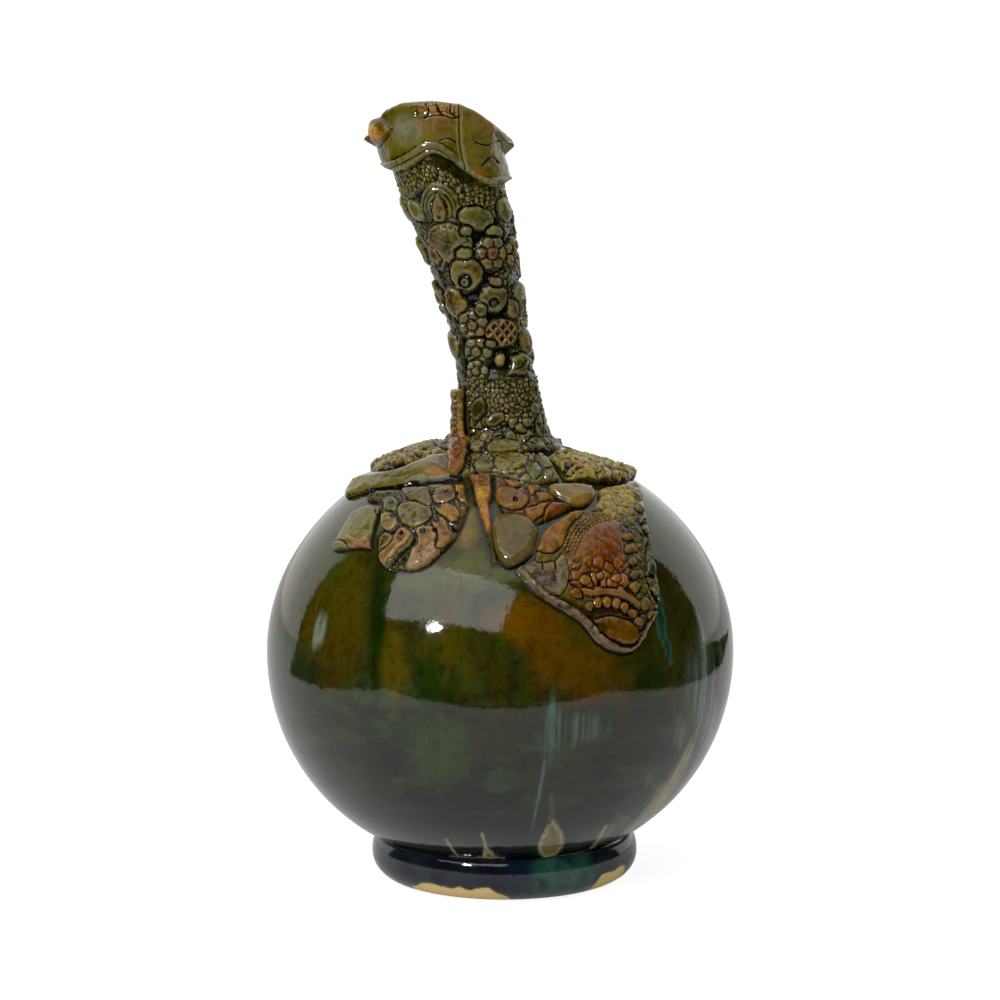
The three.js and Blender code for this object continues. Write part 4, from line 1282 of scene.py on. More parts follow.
def on_band(azimuth, z, out=0.0):
    return on_neck(azimuth, z, curl(azimuth, z) + 0.3 + out)


# The cord along the band's wavy lower edge, and its cracks, as pixels of the photograph
BAND_CORD = [
    (384, 173), (400, 171), (415, 163), (428, 154), (438, 153), (450, 163), (465, 178), (480, 187),
    (502, 186),
]
BAND_CRACKS = [
    [(427, 104), (430, 112), (426, 118)],
    [(437, 103), (438, 110), (444, 116)],
    [(450, 105), (449, 112), (455, 117)],
    [(426, 117), (440, 115), (452, 118), (458, 116)],
    [(478, 165), (486, 157), (493, 163)],
    [(472, 142), (482, 145), (494, 140)],
    [(440, 140), (448, 138), (454, 142)],
]
BAND_BEVEL = 2.6
BAND_HEIGHT = 34
HEM_WAVES = 67.6  # to a full turn


def rim_band(start, end, depths, seed):
    """A plain band from one azimuth to another, with its lower edge at depths below the mouth's height"""
    azimuths = np.linspace(start, end, len(depths))
    lower = [(azimuth, MOUTH_Z - depth) for azimuth, depth in zip(azimuths, depths)]
    upper = [(azimuth, float(lip_z(azimuth))) for azimuth in np.linspace(start, end, 11)]
    clay = slab(on_band, lower, upper, BAND, 0.5, 0.9, seed, bevel=BAND_BEVEL)
    clay.inward = np.minimum(edge_distance(clay.spot, "rows"), clay.inward * 4)
    shape_body(clay, BAND, BAND_BEVEL)
    spot = clay.spot
    depth = MOUTH_Z - clay.along
    clay.coat(linear(104, 96, 52))
    clay.mottle(13, seed + 2, -0.1, 0.3, linear(84, 80, 22))
    clay.mottle(10, seed + 3, 0.1, 0.5, linear(112, 88, 44))
    clay.mottle(7, seed + 6, 0.2, 0.5, linear(112, 110, 78), 0.7)
    clay.height = 0.8 * cloud(spot / 11, 3, seed + 4) + 0.25 * cloud(spot / 2.8, 2, seed + 5)
    cord = clay.view_line(BAND_CORD)
    knots = 0.75 + 0.25 * noise(spot / 2.4, seed + 10)
    below = smooth(clay.up, 0.6, 0.4)
    drift = 0.7 * noise(spot / 5, seed + 11)
    for shift in (0.0, 3.2):
        ridge = np.abs(cord[0] - shift + drift)
        clay.cord(ridge, 1.7, 1.1 * knots, below * 0.9)
        clay.paint(smooth(ridge, 1.8, 0.4) * below * 0.9, linear(108, 104, 126))
    clay.pool = np.maximum(clay.pool, smooth(np.abs(cord[0] - 1.6 + drift), 0.7, 0.1) * below * 0.6)
    hem = smooth(clay.up * BAND_HEIGHT, 2.6, 1.6)
    clay.height = clay.height + 0.5 * hem * np.cos(np.radians(clay.across) * HEM_WAVES)
    clay.paint(hem * 0.7, linear(108, 106, 72))
    for crack in BAND_CRACKS:
        clay.slit(clay.view_line(crack)[0], 0.7, 0.7)
    craze, _ = cells(spot / 3.1, seed + 7)
    near_lip = smooth(depth, 9, 4) * smooth(cloud(spot / 6, 2, seed + 8), -0.1, 0.3)
    clay.slit(craze * 3.1, 0.5, 0.5, near_lip)
    return clay


def rim_bands():
    left = rim_band(-176, 19.7, [32, 29, 33, 29, 31, 33, 30, 24, 32], 70)
    left.wash([
        (412, 128, 16, 15, linear(112, 114, 136), 0.9),
        (448, 110, 34, 10, linear(146, 106, 82), 0.95),
        (436, 124, 18, 8, linear(128, 96, 86), 0.8),
        (405, 158, 26, 9, linear(88, 88, 12), 0.9),
        (450, 150, 12, 16, linear(80, 78, 14), 0.8),
        (388, 150, 8, 12, linear(84, 84, 20), 0.8),
    ])
    lay_slab("rim_band_left", "smooth_glaze", left)
    right = rim_band(20.3, 183.4, [33, 40, 38, 36, 33, 30, 32], 80)
    right.wash([
        (484, 120, 20, 14, linear(128, 102, 84), 0.9),
        (500, 142, 12, 18, linear(114, 106, 118), 0.9),
        (476, 172, 8, 6, linear(136, 88, 26), 0.8),
        (495, 172, 10, 8, linear(96, 92, 40), 0.7),
    ])
    lay_slab("rim_band_right", "smooth_glaze", right)
    rim_bud()


def rim_bud():
    """The amber bud on the left end of the band, with a pointed nose that overhangs"""

    def surface(azimuth, z, out=0.0):
        return on_neck(azimuth, z, BAND + 0.1 + out)

    low = [(-101, 20.6), (-88, 22.6), (-72, 22), (-54, 18.5), (-44, 13.6)]
    high = [(-101, 18.2), (-92, 12.5), (-74, 8.4), (-56, 8), (-44, 12)]
    edges = [[(azimuth, MOUTH_Z - depth) for azimuth, depth in places] for places in (low, high)]
    bud = slab(surface, *edges, 0.8, 0.4, 0.3, 90, bevel=1.5)
    x, y = bud.flat(-66, MOUTH_Z - 14.5, -12)
    lumps = 0.5 * cloud(bud.spot / 4.5, 2, 93)
    bud.height = (3.8 + lumps) * np.sqrt(np.clip(1 - (x / 12) ** 2 - (y / 7) ** 2, 0, 1))
    nose_x, nose_y = bud.flat(-92, MOUTH_Z - 18.6)
    nose = np.hypot(nose_x, nose_y)
    bud.height = np.maximum(bud.height, 5.4 * np.exp(-((nose / 2.6) ** 2)))
    bud.height = blurred(bud.height, 1)
    bud.coat(linear(176, 138, 66))
    bud.mottle(4, 91, 0, 0.5, linear(128, 92, 36), 0.6, 2)
    # Painted shade: darker brown over all but the middle of the bud's top, which is left bright as a painted
    # highlight
    bud.paint(smooth(np.hypot(x / 8, y / 4), 0.7, 1.1), linear(98, 84, 36))
    bud.paint(smooth(nose, 3.5, 1), linear(90, 78, 50))
    lay_slab("rim_bud", "amber_glaze", bud)


def crochet(clay, seed, colours):
    """A pressed lace ground: uneven cells with mottled glaze"""
    clay.height = 0.4 * cloud(clay.spot / 9, 2, seed)
    clay.ground(8, seed + 1, 0.35, colours, 0.85)
    name = clay.pebbles(4.4, 1.0, smooth(cloud(clay.spot / 11, 2, seed + 6), -0.5, 0.1), seed + 5)
    clay.paint((name > 0.7) * 0.4, colours[-1])
    clay.height = clay.height + 0.15 * cloud(clay.spot / 1.5, 2, seed + 7)


def crumpled(clay, seed, colours):
    """Torn and crumpled clay, with sharp uneven ridges over dark hollows"""
    spot = clay.spot
    warp = np.stack([cloud(spot / 7, 2, seed + k) for k in range(3)], axis=-1)
    folds = 1 - np.abs(cloud(spot / 9 + 1.2 * warp, 2, seed + 4)) * 3.6
    fine = 1 - np.abs(cloud(spot / 3.4 + warp, 2, seed + 5)) * 3
    clay.height = 1.9 * np.clip(folds, -1, 1) + 0.4 * np.clip(fine, -1, 1)
    clay.ground(6, seed + 6, 0.3, colours, 0.85)
    # Pale over the ridges: glaze broken over them, and a painted highlight
    ridges = smooth(folds + 0.4 * fine + 0.5 * cloud(spot / 5, 2, seed + 9), 0.7, 1.3)
    clay.paint(ridges * 0.7, linear(186, 174, 132))
    clay.mottle(5, seed + 11, 0.25, 0.5, linear(150, 82, 36), 0.8, 2)
    clay.pool = smooth(folds + 0.4 * fine, 0.1, -0.9) * 0.95


def plain(clay, seed, colours, roughness=0.35):
    """Smooth clay, a little uneven, with mottled glaze"""
    clay.height = roughness * cloud(clay.spot / 6, 3, seed)
    clay.ground(7, seed + 1, 0.35, colours, 0.8)


def stamp(clay, pixels, colour, height=1.0, bevel=1.8, groove=0.6, rim=None):
    """A raised cell with a smooth outline through pixels, and a paler rim if one is given"""
    distance = clay.view_patch(pixels)
    clay.press(distance, height, bevel, groove, 0.4, colour)
    if rim is not None:
        clay.paint(smooth(np.abs(distance + 0.5 + 0.5 * clay.uneven()), 0.9, 0.3) * 0.5, rim)
    return distance


def stamp_ovals(clay, ovals, height=1.2, groove=0.5):
    """Small raised ovals, each by its pixel, half width and half height in pixels, lean and colour"""
    for across, down, half_width, half_height, lean, colour in ovals:
        x, y = clay.view(across, down, lean)
        distance = oval(x, y, half_width * VIEW_MM, half_height * VIEW_MM)
        clay.press(distance, height, min(half_width, half_height) * VIEW_MM, groove, 0.3, colour)


def stamp_holes(clay, holes, depth=1.2):
    """Dark pits, each by its pixel and its radius in pixels"""
    for across, down, radius in holes:
        x, y = clay.view(across, down)
        clay.hole(np.hypot(x, y) - radius * VIEW_MM, depth, 0.5)


# The medallion's cells, from its pale middle outwards, as outlines in pixels with a colour and a height
MEDALLION_CELLS = [
    ([(384, 487), (404, 484), (416, 488), (404, 493), (390, 498), (378, 500)], linear(98, 96, 60), 0.7),
    ([(416, 487), (432, 487), (444, 484), (452, 488), (440, 492), (424, 492)], linear(104, 92, 56), 0.7),
    (
        [(400, 514), (407, 508), (420, 507), (431, 512), (434, 519), (428, 528), (415, 531), (404, 526)],
        SAGE, 1.1,
    ),
    (
        [(404, 493), (416, 488), (430, 493), (434, 505), (430, 511), (420, 507), (410, 503)],
        linear(106, 102, 60), 0.9,
    ),
    ([(386, 503), (396, 502), (402, 508), (398, 515), (389, 515), (385, 509)], linear(100, 106, 58), 1.0),
    ([(384, 519), (393, 517), (400, 522), (400, 530), (391, 535), (384, 529)], linear(160, 138, 98), 1.1),
    (
        [(403, 531), (413, 535), (411, 544), (400, 554), (388, 567), (380, 563), (388, 551), (396, 541)],
        SALMON, 1.2,
    ),
    ([(388, 537), (396, 541), (390, 550), (380, 556), (373, 553), (378, 545)], linear(112, 96, 38), 1.0),
    (
        [(418, 534), (428, 531), (440, 533), (437, 545), (442, 552), (432, 564), (418, 572), (409, 569),
         (414, 556), (420, 547)],
        ROSE, 1.4,
    ),
    ([(433, 527), (445, 522), (451, 534), (456, 539), (446, 549), (438, 551), (440, 540)], SALMON, 1.3),
    (
        [(437, 512), (445, 508), (456, 511), (461, 520), (455, 527), (446, 522), (439, 517)],
        linear(172, 128, 62), 1.2,
    ),
    ([(432, 498), (441, 493), (454, 492), (458, 500), (450, 507), (438, 508)], linear(150, 112, 70), 1.1),
    ([(456, 489), (468, 490), (475, 500), (470, 508), (460, 505), (457, 497)], linear(174, 126, 44), 1.2),
]
MEDALLION_HOLES = [
    (395, 509, 2.4), (396, 521, 2.6), (404, 538, 2.6), (425, 536, 3.2), (437, 535, 2.6), (439, 526, 2.8),
    (441, 512, 2.6), (435, 498, 2.6), (448, 498, 2.2), (458, 499, 2.0),
]


def medallion(clay):
    """The lace medallion: a sage middle cell in a ring of pink and amber petals, and green glaze below"""
    clay.height = clay.height * 0.3 - 0.3
    clay.coat(linear(84, 68, 26))
    clay.pebbles(2.6, 0.8, 1.0, 246)
    clay.wash([
        (408, 558, 16, 14, linear(50, 70, 18), 0.9),
        (466, 524, 12, 22, linear(132, 100, 34), 0.9),
        (384, 556, 12, 10, linear(116, 88, 20), 0.8),
    ])
    nearest = np.minimum.reduce([clay.view_patch(outline) for outline, _, _ in MEDALLION_CELLS])
    open_ground = smooth(nearest, 0.6, 1.6) * smooth(clay.view(410, 527)[1], 0, -4)
    clay.rise = clay.rise * (1 - 0.92 * open_ground)
    clay.pool = clay.pool * (1 - 0.8 * open_ground)
    clay.paint(open_ground, linear(62, 80, 22))
    for outline, colour, height in MEDALLION_CELLS:
        distance = stamp(clay, outline, colour, 0.8 * height, 1.4, 0.6)
        clay.paint(smooth(distance, -0.8, -2.6) * 0.6, mix(colour, linear(110, 66, 20), 0.5))
    stamp_holes(clay, MEDALLION_HOLES, 0.8)


# Parts of the lappet, as closed outlines and, from the rope on, lines through pixels of the photograph
LAPPET_WEAVE = [
    (566, 549), (572, 531), (586, 521), (603, 520), (614, 529), (619, 548), (620, 575), (598, 581),
    (574, 573),
]
LAPPET_EAR = [
    (536, 553), (539, 534), (552, 521), (572, 514), (581, 517), (568, 530), (562, 547), (553, 555),
    (544, 556),
]
LAPPET_CORNER = [
    (514, 567), (528, 557), (537, 566), (553, 564), (562, 558), (567, 575), (561, 595), (545, 597),
    (528, 586),
]
LAPPET_HOLLOW = [(529, 578), (544, 575), (557, 575), (556, 592), (544, 591)]
LAPPET_AMBER = [(568, 558), (596, 552), (620, 556), (626, 590), (610, 602), (580, 600), (564, 590)]
LAPPET_SCOOP = [
    (591, 622), (604, 617), (622, 620), (634, 628), (637, 639), (626, 646), (608, 641), (597, 632),
]
LAPPET_ROPE = [
    (514, 567), (520, 578), (531, 588), (541, 598), (553, 604), (566, 611), (577, 618), (588, 629),
    (598, 640), (612, 649), (627, 652), (637, 647), (642, 637), (647, 628), (654, 617),
]
LAPPET_WAVE = [
    (640, 525), (637, 533), (643, 541), (643, 553), (642, 565), (643, 580), (648, 595), (655, 605),
    (659, 612),
]
LAPPET_RIDGE = [(570, 592), (588, 595), (606, 594), (624, 599), (636, 608)]
LAPPET_HEM = [(641, 492), (648, 520), (653, 545), (656, 570), (661, 590), (660, 606)]
LAPPET_NET = [(596, 519), (582, 524), (572, 532), (566, 542), (562, 552)]
LAPPET_NOTCHES = [[(541, 565), (541, 573)], [(553, 564), (554, 573)]]

# Beads and knobs on the lappet, each by its pixel, half width and half height in pixels, lean and colour
LAPPET_KNOBS = [
    (583, 583, 5, 5, 0, linear(160, 118, 52)), (597, 579, 4, 4, 0, linear(156, 104, 44)),
    (613, 581, 4.5, 4.5, 0, linear(150, 108, 48)), (631, 589, 4.8, 4.8, 0, linear(132, 116, 52)),
    (574, 596, 6, 4, -20, linear(112, 86, 30)), (587, 608, 3.8, 4.5, 0, linear(124, 88, 30)),
    (595, 605, 3.8, 4.8, 0, linear(136, 94, 32)), (604, 604, 4, 5, 0, linear(142, 98, 34)),
    (613, 605, 4, 5, 0, linear(142, 96, 30)), (621, 609, 3.8, 4.6, 15, linear(134, 92, 28)),
    (629, 615, 3.8, 4.6, 30, linear(124, 86, 26)), (635, 623, 3.6, 4.4, 40, linear(106, 78, 24)),
    (641, 606, 4.5, 7, -20, linear(98, 92, 32)), (648, 617, 3.5, 6, -30, linear(92, 96, 50)),
    (624, 541, 5, 3.4, -10, linear(112, 100, 44)), (627, 552, 5, 4.4, -8, linear(116, 98, 40)),
    (629, 565, 4.4, 4.4, 0, linear(60, 74, 24)), (631, 577, 4, 4, 0, linear(56, 72, 26)),
    (632, 498, 5, 4, -50, linear(106, 106, 56)), (636, 512, 5, 4.5, -60, linear(102, 106, 62)),
    (640, 524, 4.4, 4.4, 0, linear(104, 108, 70)), (641, 534, 6, 5, -10, linear(104, 114, 76)),
    (645, 544, 4.4, 5, 0, linear(104, 112, 76)), (648, 571, 4.2, 7.5, 0, linear(48, 66, 62)),
    (652, 592, 4.2, 5.4, 0, linear(100, 106, 62)), (657, 602, 3.5, 4, 0, linear(84, 106, 88)),
    (651, 621, 4.4, 4.6, 0, linear(116, 112, 72)), (658, 615, 3.4, 5, 0, linear(76, 104, 88)),
]


def lappet(clay):
    """The lace lappet: a woven dome over rows of beads, a chain of knobs and a rolled rope edge"""
    clay.height = clay.height * 0.5 - 0.3
    clay.coat(linear(96, 86, 40))
    clay.wash([
        (612, 500, 26, 22, linear(172, 156, 66), 0.9),
        (634, 560, 14, 46, linear(88, 86, 34), 0.9),
        (650, 560, 8, 60, linear(84, 92, 58), 0.8),
        (562, 585, 12, 18, linear(92, 92, 44), 0.9),
        (545, 605, 30, 10, linear(80, 72, 22), 0.9),
        (610, 615, 34, 18, linear(40, 28, 8), 0.95),
    ])
    mesh_right = smooth(clay.view(612, 500)[0], -16, -10) * smooth(clay.view(612, 512)[1], -18, -10)
    clay.pebbles(4.6, 0.7, mesh_right, 231, (1, 1, 1), 0.8)
    side_cells = smooth(clay.view(621, 545)[0], 0, 2) * smooth(clay.view(0, 520)[1], 0, -4)
    clay.pebbles(3.6, 0.7, side_cells, 232, (1, 1, 1), 0.8)
    clay.pool = clay.pool * (1 - 0.5 * np.maximum(side_cells, mesh_right))
    amber = clay.view_patch(LAPPET_AMBER)
    inside = smooth(amber, 1, -3)
    clay.height = mix(clay.height, 0.2, inside)
    clay.pool = clay.pool * (1 - inside)
    clay.pebbles(5.2, 1.5, inside, 235, (1, 1, 0.8))
    clay.paint(inside, linear(142, 84, 14))
    weave = clay.view_patch(LAPPET_WEAVE)
    dome = smooth(weave, 0, -9)
    inside = smooth(weave, 0.6, -0.8)
    clay.height = mix(clay.height, 0.4 + 1.6 * dome, inside)
    clay.pool = clay.pool * (1 - inside)
    x, y = clay.view()
    threads = np.sin(x * 5.6 + 0.9 * np.sin(y * 5)) * np.sin(y * 5.2)
    clay.height = clay.height + 0.16 * threads * inside
    clay.paint(inside, linear(124, 82, 38))
    clay.wash([
        (602, 552, 14, 22, linear(128, 68, 28), 0.8),
        (588, 530, 18, 10, linear(128, 92, 70), 0.8),
    ])
    broken_up = smooth(cells(clay.spot / 5, 3)[0], 0.35, 0) * smooth(clay.view(598, 562)[1], 2, -3)
    clay.height = clay.height - 0.8 * broken_up * inside
    ear = stamp(clay, LAPPET_EAR, linear(144, 114, 70), 1.3, 4.0, 0.8)
    clay.paint(smooth(ear, -1.5, -5) * 0.8, linear(152, 98, 44))
    stamp(clay, LAPPET_CORNER, linear(124, 118, 130), 1.0, 2.4, 0.7, linear(150, 144, 108))
    hollow = clay.view_patch(LAPPET_HOLLOW)
    clay.height = clay.height - 0.8 * smooth(hollow, 1, -2)
    clay.paint(smooth(hollow, 0.8, -1.2), linear(98, 90, 124))
    for notch in LAPPET_NOTCHES:
        clay.slit(clay.view_line(notch)[0], 0.7, 1.2)
    scoop = stamp(clay, LAPPET_SCOOP, linear(112, 80, 14), 1.0, 5.0, 1.2)
    clay.height = clay.height + 0.1 * noise(clay.spot / 0.8, 236) * smooth(scoop, 0, -1)
    clay.paint(smooth(clay.view(600, 632)[0], 6, -4) * smooth(scoop, 0, -2) * 0.8, linear(52, 38, 10))
    ridge = clay.view_line(LAPPET_RIDGE)
    clay.cord(ridge[0], 1.4, 1.2)
    clay.paint(smooth(ridge[0], 1.4, 0.6), linear(122, 92, 30))
    stamp_ovals(clay, LAPPET_KNOBS, 0.9, 0.25)
    for row in range(4):
        line = clay.view_line([(across + 3.2 * row, down + 1.6 * row) for across, down in LAPPET_NET])
        clay.beads((line[0], line[1] + 0.9 * (row % 2)), 1.9, 0.75, 1.3, linear(150, 132, 84))
    wave = clay.view_line(LAPPET_WAVE)
    clay.slit(wave[0], 0.9, 0.8)
    clay.paint(smooth(wave[0], 1.1, 0.5), linear(28, 66, 58))
    clay.paint(smooth(np.abs(wave[0] - 1.1), 0.5, 0.2) * 0.7, linear(112, 124, 100))
    hem = clay.view_line(LAPPET_HEM)
    clay.cord(hem[0], 1.1, 1.2)
    clay.paint(smooth(hem[0], 1.0, 0.4) * 0.8, linear(126, 126, 90))
    rope = clay.view_line(LAPPET_ROPE)
    uneven = 1 + 0.5 * noise(clay.spot / 1.6, 237)
    clay.cord(rope[0] + 0.5 * noise(clay.spot / 1.8, 238), 2.0, 1.9 * uneven)
    clay.paint(smooth(rope[0], 2.1, 1.2) * 0.9 * mix(0.6, 1, uneven - 0.5), linear(122, 116, 160))
    # Painted shadow: a dark band along both sides of the rope
    clay.paint(smooth(rope[0], 4.6, 2.6) * smooth(rope[0], 2.0, 2.8) * 0.9, linear(34, 26, 10))
    rolled = smooth(rope[0], 3.2, 1.2) * np.sqrt(np.clip(clay.inward / 1.2, 0, 1))
    clay.rise = np.maximum(clay.rise, 2.6 * rolled)


# The centre slab's cells, in the medallion's form
CENTRE_CELLS = [
    ([(502, 478), (514, 476), (523, 484), (518, 492), (508, 490)], linear(138, 74, 38), 1.0),
    (
        [(493, 497), (505, 492), (520, 497), (528, 505), (521, 512), (510, 514), (500, 508)],
        linear(132, 94, 66), 1.3,
    ),
    ([(524, 480), (536, 484), (532, 490), (524, 488)], linear(104, 92, 50), 0.9),
    ([(527, 491), (537, 489), (540, 495), (530, 499)], linear(134, 98, 68), 1.1),
    ([(541, 488), (551, 490), (553, 497), (543, 495)], linear(134, 102, 70), 1.1),
    ([(535, 498), (547, 498), (553, 503), (541, 505)], linear(128, 94, 62), 1.1),
    ([(525, 514), (540, 509), (552, 508), (545, 516), (534, 523), (526, 519)], linear(142, 92, 62), 1.2),
    (
        [(550, 508), (566, 506), (578, 507), (566, 512), (550, 521), (543, 524), (544, 516)],
        linear(142, 76, 24), 1.2,
    ),
]


def centre_lace(clay):
    """Orange and pink cells at the centre of the shoulder, with an orange band under them"""
    clay.height = clay.height * 0.4 - 0.2
    clay.coat(linear(104, 68, 34))
    clay.pebbles(2.8, 0.8, 1.0, 247)
    for outline, colour, height in CENTRE_CELLS:
        stamp(clay, outline, colour, height, 1.8, 0.8, linear(156, 130, 96))
    stamp_holes(clay, [(515, 506, 2.4), (508, 484, 1.8)])


def front_skirt(clay):
    """The stippled cell and small leaves in front of the neck's foot"""
    stamp_ovals(clay, [
        (510, 466, 17, 9, 6, linear(128, 118, 66)),
        (484, 470, 10, 6, 8, linear(116, 112, 86)),
        (545, 465, 12, 8, -10, linear(104, 96, 54)),
        (533, 475, 7, 9, 40, linear(88, 92, 46)),
        (547, 480, 6, 4, -30, linear(96, 92, 60)),
        (566, 474, 8, 4, -10, linear(92, 92, 50)),
    ], 1.1, 0.9)
    stipple = smooth(oval(*clay.view(510, 466), 7.5, 4), 0.5, -1)
    clay.height = clay.height + 0.2 * noise(clay.spot / 1.0, 240) * stipple


# Raised striations along the fold
FOLD_LINES = [
    [(347, 497), (362, 484), (385, 474), (408, 468), (430, 466), (448, 462)],
    [(350, 499), (368, 488), (392, 480), (416, 476), (440, 473)],
    [(375, 470), (392, 466), (410, 463), (428, 458)],
    [(352, 500), (372, 491), (400, 486), (428, 481), (450, 479)],
]


def fold(clay):
    """A swollen fold, lilac-grey at the neck and drawn out to the left in long striations"""
    drawn_out = np.stack([clay.across / 12, clay.up * 6.5, 0 * clay.up], axis=-1)
    grain = cloud(drawn_out, 3, 242)
    left = smooth(clay.view(415, 0)[0], 8, -8)
    clay.height = clay.height + mix(0.3, 1.2, left) * grain + 1.8 * cloud(clay.spot / 16, 2, 243)
    clay.pool = smooth(grain, -0.1, -0.5) * mix(0.2, 0.8, left)
    for line in FOLD_LINES:
        distance, travelled = clay.view_line(line)
        clay.cord(distance, 1.6, 0.5, smooth(travelled, 46, 20) * 0.8)
    # Painted shadow: the glaze is made dark along the fold's lower edge, right of its left end, where the
    # fold hangs over the globe
    painted_shadow_below = smooth(clay.up, 0.08, 0.02) * smooth(clay.view(368, 0)[0], -3, 3)
    clay.pool = np.maximum(clay.pool, painted_shadow_below)
    clay.wash([
        (434, 463, 34, 14, linear(136, 126, 176), 0.95),
        (405, 474, 26, 7, linear(116, 106, 116), 0.8),
        (390, 480, 30, 6, linear(78, 82, 46), 0.8),
        (440, 479, 16, 4, linear(136, 96, 46), 0.9),
        (360, 492, 14, 9, linear(116, 112, 78), 0.8),
    ])


def tab(clay):
    """Sage-grey, with its folded lower corner broken to amber and a small lump at its foot"""
    clay.wash([
        (363, 545, 13, 7, linear(138, 88, 30), 0.95),
        (356, 520, 14, 16, linear(112, 112, 84), 0.7),
    ])
    crease = clay.view_line([(352, 541), (362, 546), (373, 540)])
    clay.cord(crease[0], 1.2, 1.0)
    stamp_ovals(clay, [(342, 549, 8, 4, 12, linear(104, 104, 44))], 1.3, 0.4)
    clay.slit(clay.view_line([(378, 512), (380, 530), (374, 548)])[0], 0.7, 0.5)


def torn_strip(clay):
    """Amber over most of it, with a ragged pale right edge"""
    clay.wash([
        (477, 500, 9, 26, linear(186, 150, 30), 0.95),
        (489, 514, 5, 26, linear(180, 126, 96), 0.9),
        (479, 484, 12, 8, linear(132, 76, 42), 0.9),
    ])
    clay.height = clay.height + 0.3 * cloud(clay.spot / 2.0, 2, 244)
    clay.paint(smooth(clay.view(0, 528)[1], 0, -6), linear(70, 66, 40))


# The shoulder slabs, each between a lower and an upper edge of azimuths and falls below the neck's skirt.
# What isn't given keeps slab's own values.
SHOULDER = {
    "front_skirt_slab": dict(
        lower=[(-20, 23), (-13, 19), (-2, 19), (8, 25), (16, 28), (31, 26)],
        upper=[(-36, 3), (-10, 1.5), (10, 1.5), (36, 3)],
        slot="lace_glaze", finish=crochet, colours=(linear(98, 92, 50), OLIVE, TAN),
        detail=front_skirt,
    ),
    "left_fold": dict(
        lower=[(-90, 47), (-80, 50), (-68, 43), (-56, 38), (-43, 32), (-33, 28), (-21, 25)],
        upper=[(-91, 39), (-84, 33), (-75, 28), (-62, 22), (-52, 9), (-41, 2)],
        crown=3.2, bevel=8, torn=1.4, slot="smooth_glaze", finish=plain,
        colours=(linear(112, 104, 80), OLIVE),
        detail=fold,
    ),
    "left_back_slab": dict(
        lower=[(-128, 30), (-107, 36), (-86, 32), (-74, 26), (-62, 19), (-51, 8)],
        upper=[(-128, 3), (-107, 3), (-84, 2), (-66, 2), (-49, 2)],
        thickness=FOLD, taper=0.4, torn=1.6, bevel=6, slot="lace_glaze", finish=crumpled,
        colours=(linear(150, 138, 96), OLIVE, BROWN),
    ),
    "medallion_slab": dict(
        lower=[
            (-60, 47), (-49, 47), (-45, 54), (-39, 68), (-35, 79), (-27, 82), (-20, 77), (-14, 62),
            (-12, 44),
        ],
        upper=[(-62, 43), (-45, 37), (-36, 34), (-26, 31), (-16, 31)],
        pitch=0.4, slot="lace_glaze", finish=plain, colours=(OLIVE,),
        detail=medallion,
    ),
    "leaf_tab": dict(
        lower=[(-56, 77), (-47, 73), (-41, 72)],
        upper=[(-60, 56), (-56, 50), (-48, 50)],
        slot="smooth_glaze", finish=plain, colours=(linear(108, 108, 80), OLIVE),
        detail=tab,
    ),
    "centre_strip": dict(
        lower=[(-16.5, 21.5), (-12, 31), (-8.3, 44), (-4.8, 59), (-2, 76)],
        upper=[(-5, 21.5), (-4, 32), (-4, 44), (-2.6, 56), (-0.6, 76)],
        slot="amber_glaze", finish=plain, colours=(linear(110, 82, 34), SALMON),
        detail=torn_strip,
    ),
    "centre_petal": dict(
        lower=[(-3, 57), (-2, 66), (-0.4, 74), (2.5, 78), (6, 76), (9.7, 71)],
        upper=[(-2.4, 52.5), (1.5, 49.5), (6, 49), (10.5, 52), (12.4, 60)],
        thickness=FOLD, bevel=6, slot="smooth_glaze", finish=plain,
        colours=(linear(96, 82, 62), linear(80, 76, 54)),
    ),
    "centre_lace_slab": dict(
        lower=[(-2, 36), (1, 47), (7, 49), (13, 53.5), (20, 50), (27, 47)],
        upper=[(-2.5, 21.5), (7, 27.5), (15, 30.5), (20, 35), (22.5, 42), (26.5, 46)],
        pitch=0.4, slot="amber_glaze", finish=plain, colours=(AMBER, SALMON, OLIVE),
        detail=centre_lace,
    ),
    "shoulder_roll": dict(
        lower=[(21.5, 35), (25, 41.5), (29, 45.5), (35, 45), (42, 40.5)],
        upper=[(22, 31), (30, 30.5), (38, 31.5), (44, 34.5)],
        thickness=FOLD, bevel=6, slot="smooth_glaze", finish=plain, colours=(linear(112, 96, 66), TAN),
    ),
    "right_lappet": dict(
        lower=[(4.5, 80), (9.5, 91), (13, 96), (20, 105), (23.5, 114), (28, 119.5), (33, 119.5), (38, 111),
               (43, 101), (46, 88), (49.5, 73), (56, 59), (64, 50), (75, 43)],
        upper=[(4.8, 78.5), (9.2, 75), (11, 68), (14, 60), (19, 55), (28, 49), (35, 48), (42, 43), (47, 37),
               (62, 37), (75, 38)],
        pitch=0.4, bevel=2.2, slot="amber_glaze", finish=plain, colours=(OLIVE,),
        detail=lappet,
    ),
    "right_collar_slab": dict(
        lower=[(34, 27), (41, 29), (50, 31), (68, 35), (82, 35), (100, 39)],
        upper=[(40, 6), (54, 2), (66, 3), (80, 15), (90, 26), (100, 32)],
        thickness=FOLD, taper=0.4, torn=1.8, bevel=6, slot="lace_glaze", finish=crumpled,
        colours=(linear(172, 160, 92), linear(136, 132, 58), SALMON),
    ),
    "back_left_slab": dict(
        lower=[(-178, 46), (-166, 60), (-150, 54), (-131, 32)],
        upper=[(-178, 2), (-166, 2), (-150, 2), (-131, 2)],
        taper=0.4, slot="lace_glaze", finish=crochet, colours=(OLIVE, TAN, MOSS),
    ),
    "back_right_slab": dict(
        lower=[(106, 39), (122, 36), (140, 44), (162, 52), (179, 44)],
        upper=[(106, 32), (118, 22), (132, 8), (146, 2), (162, 2), (179, 2)],
        taper=0.4, slot="lace_glaze", finish=crochet, colours=(OLIVE, TAN, MOSS),
    ),
}


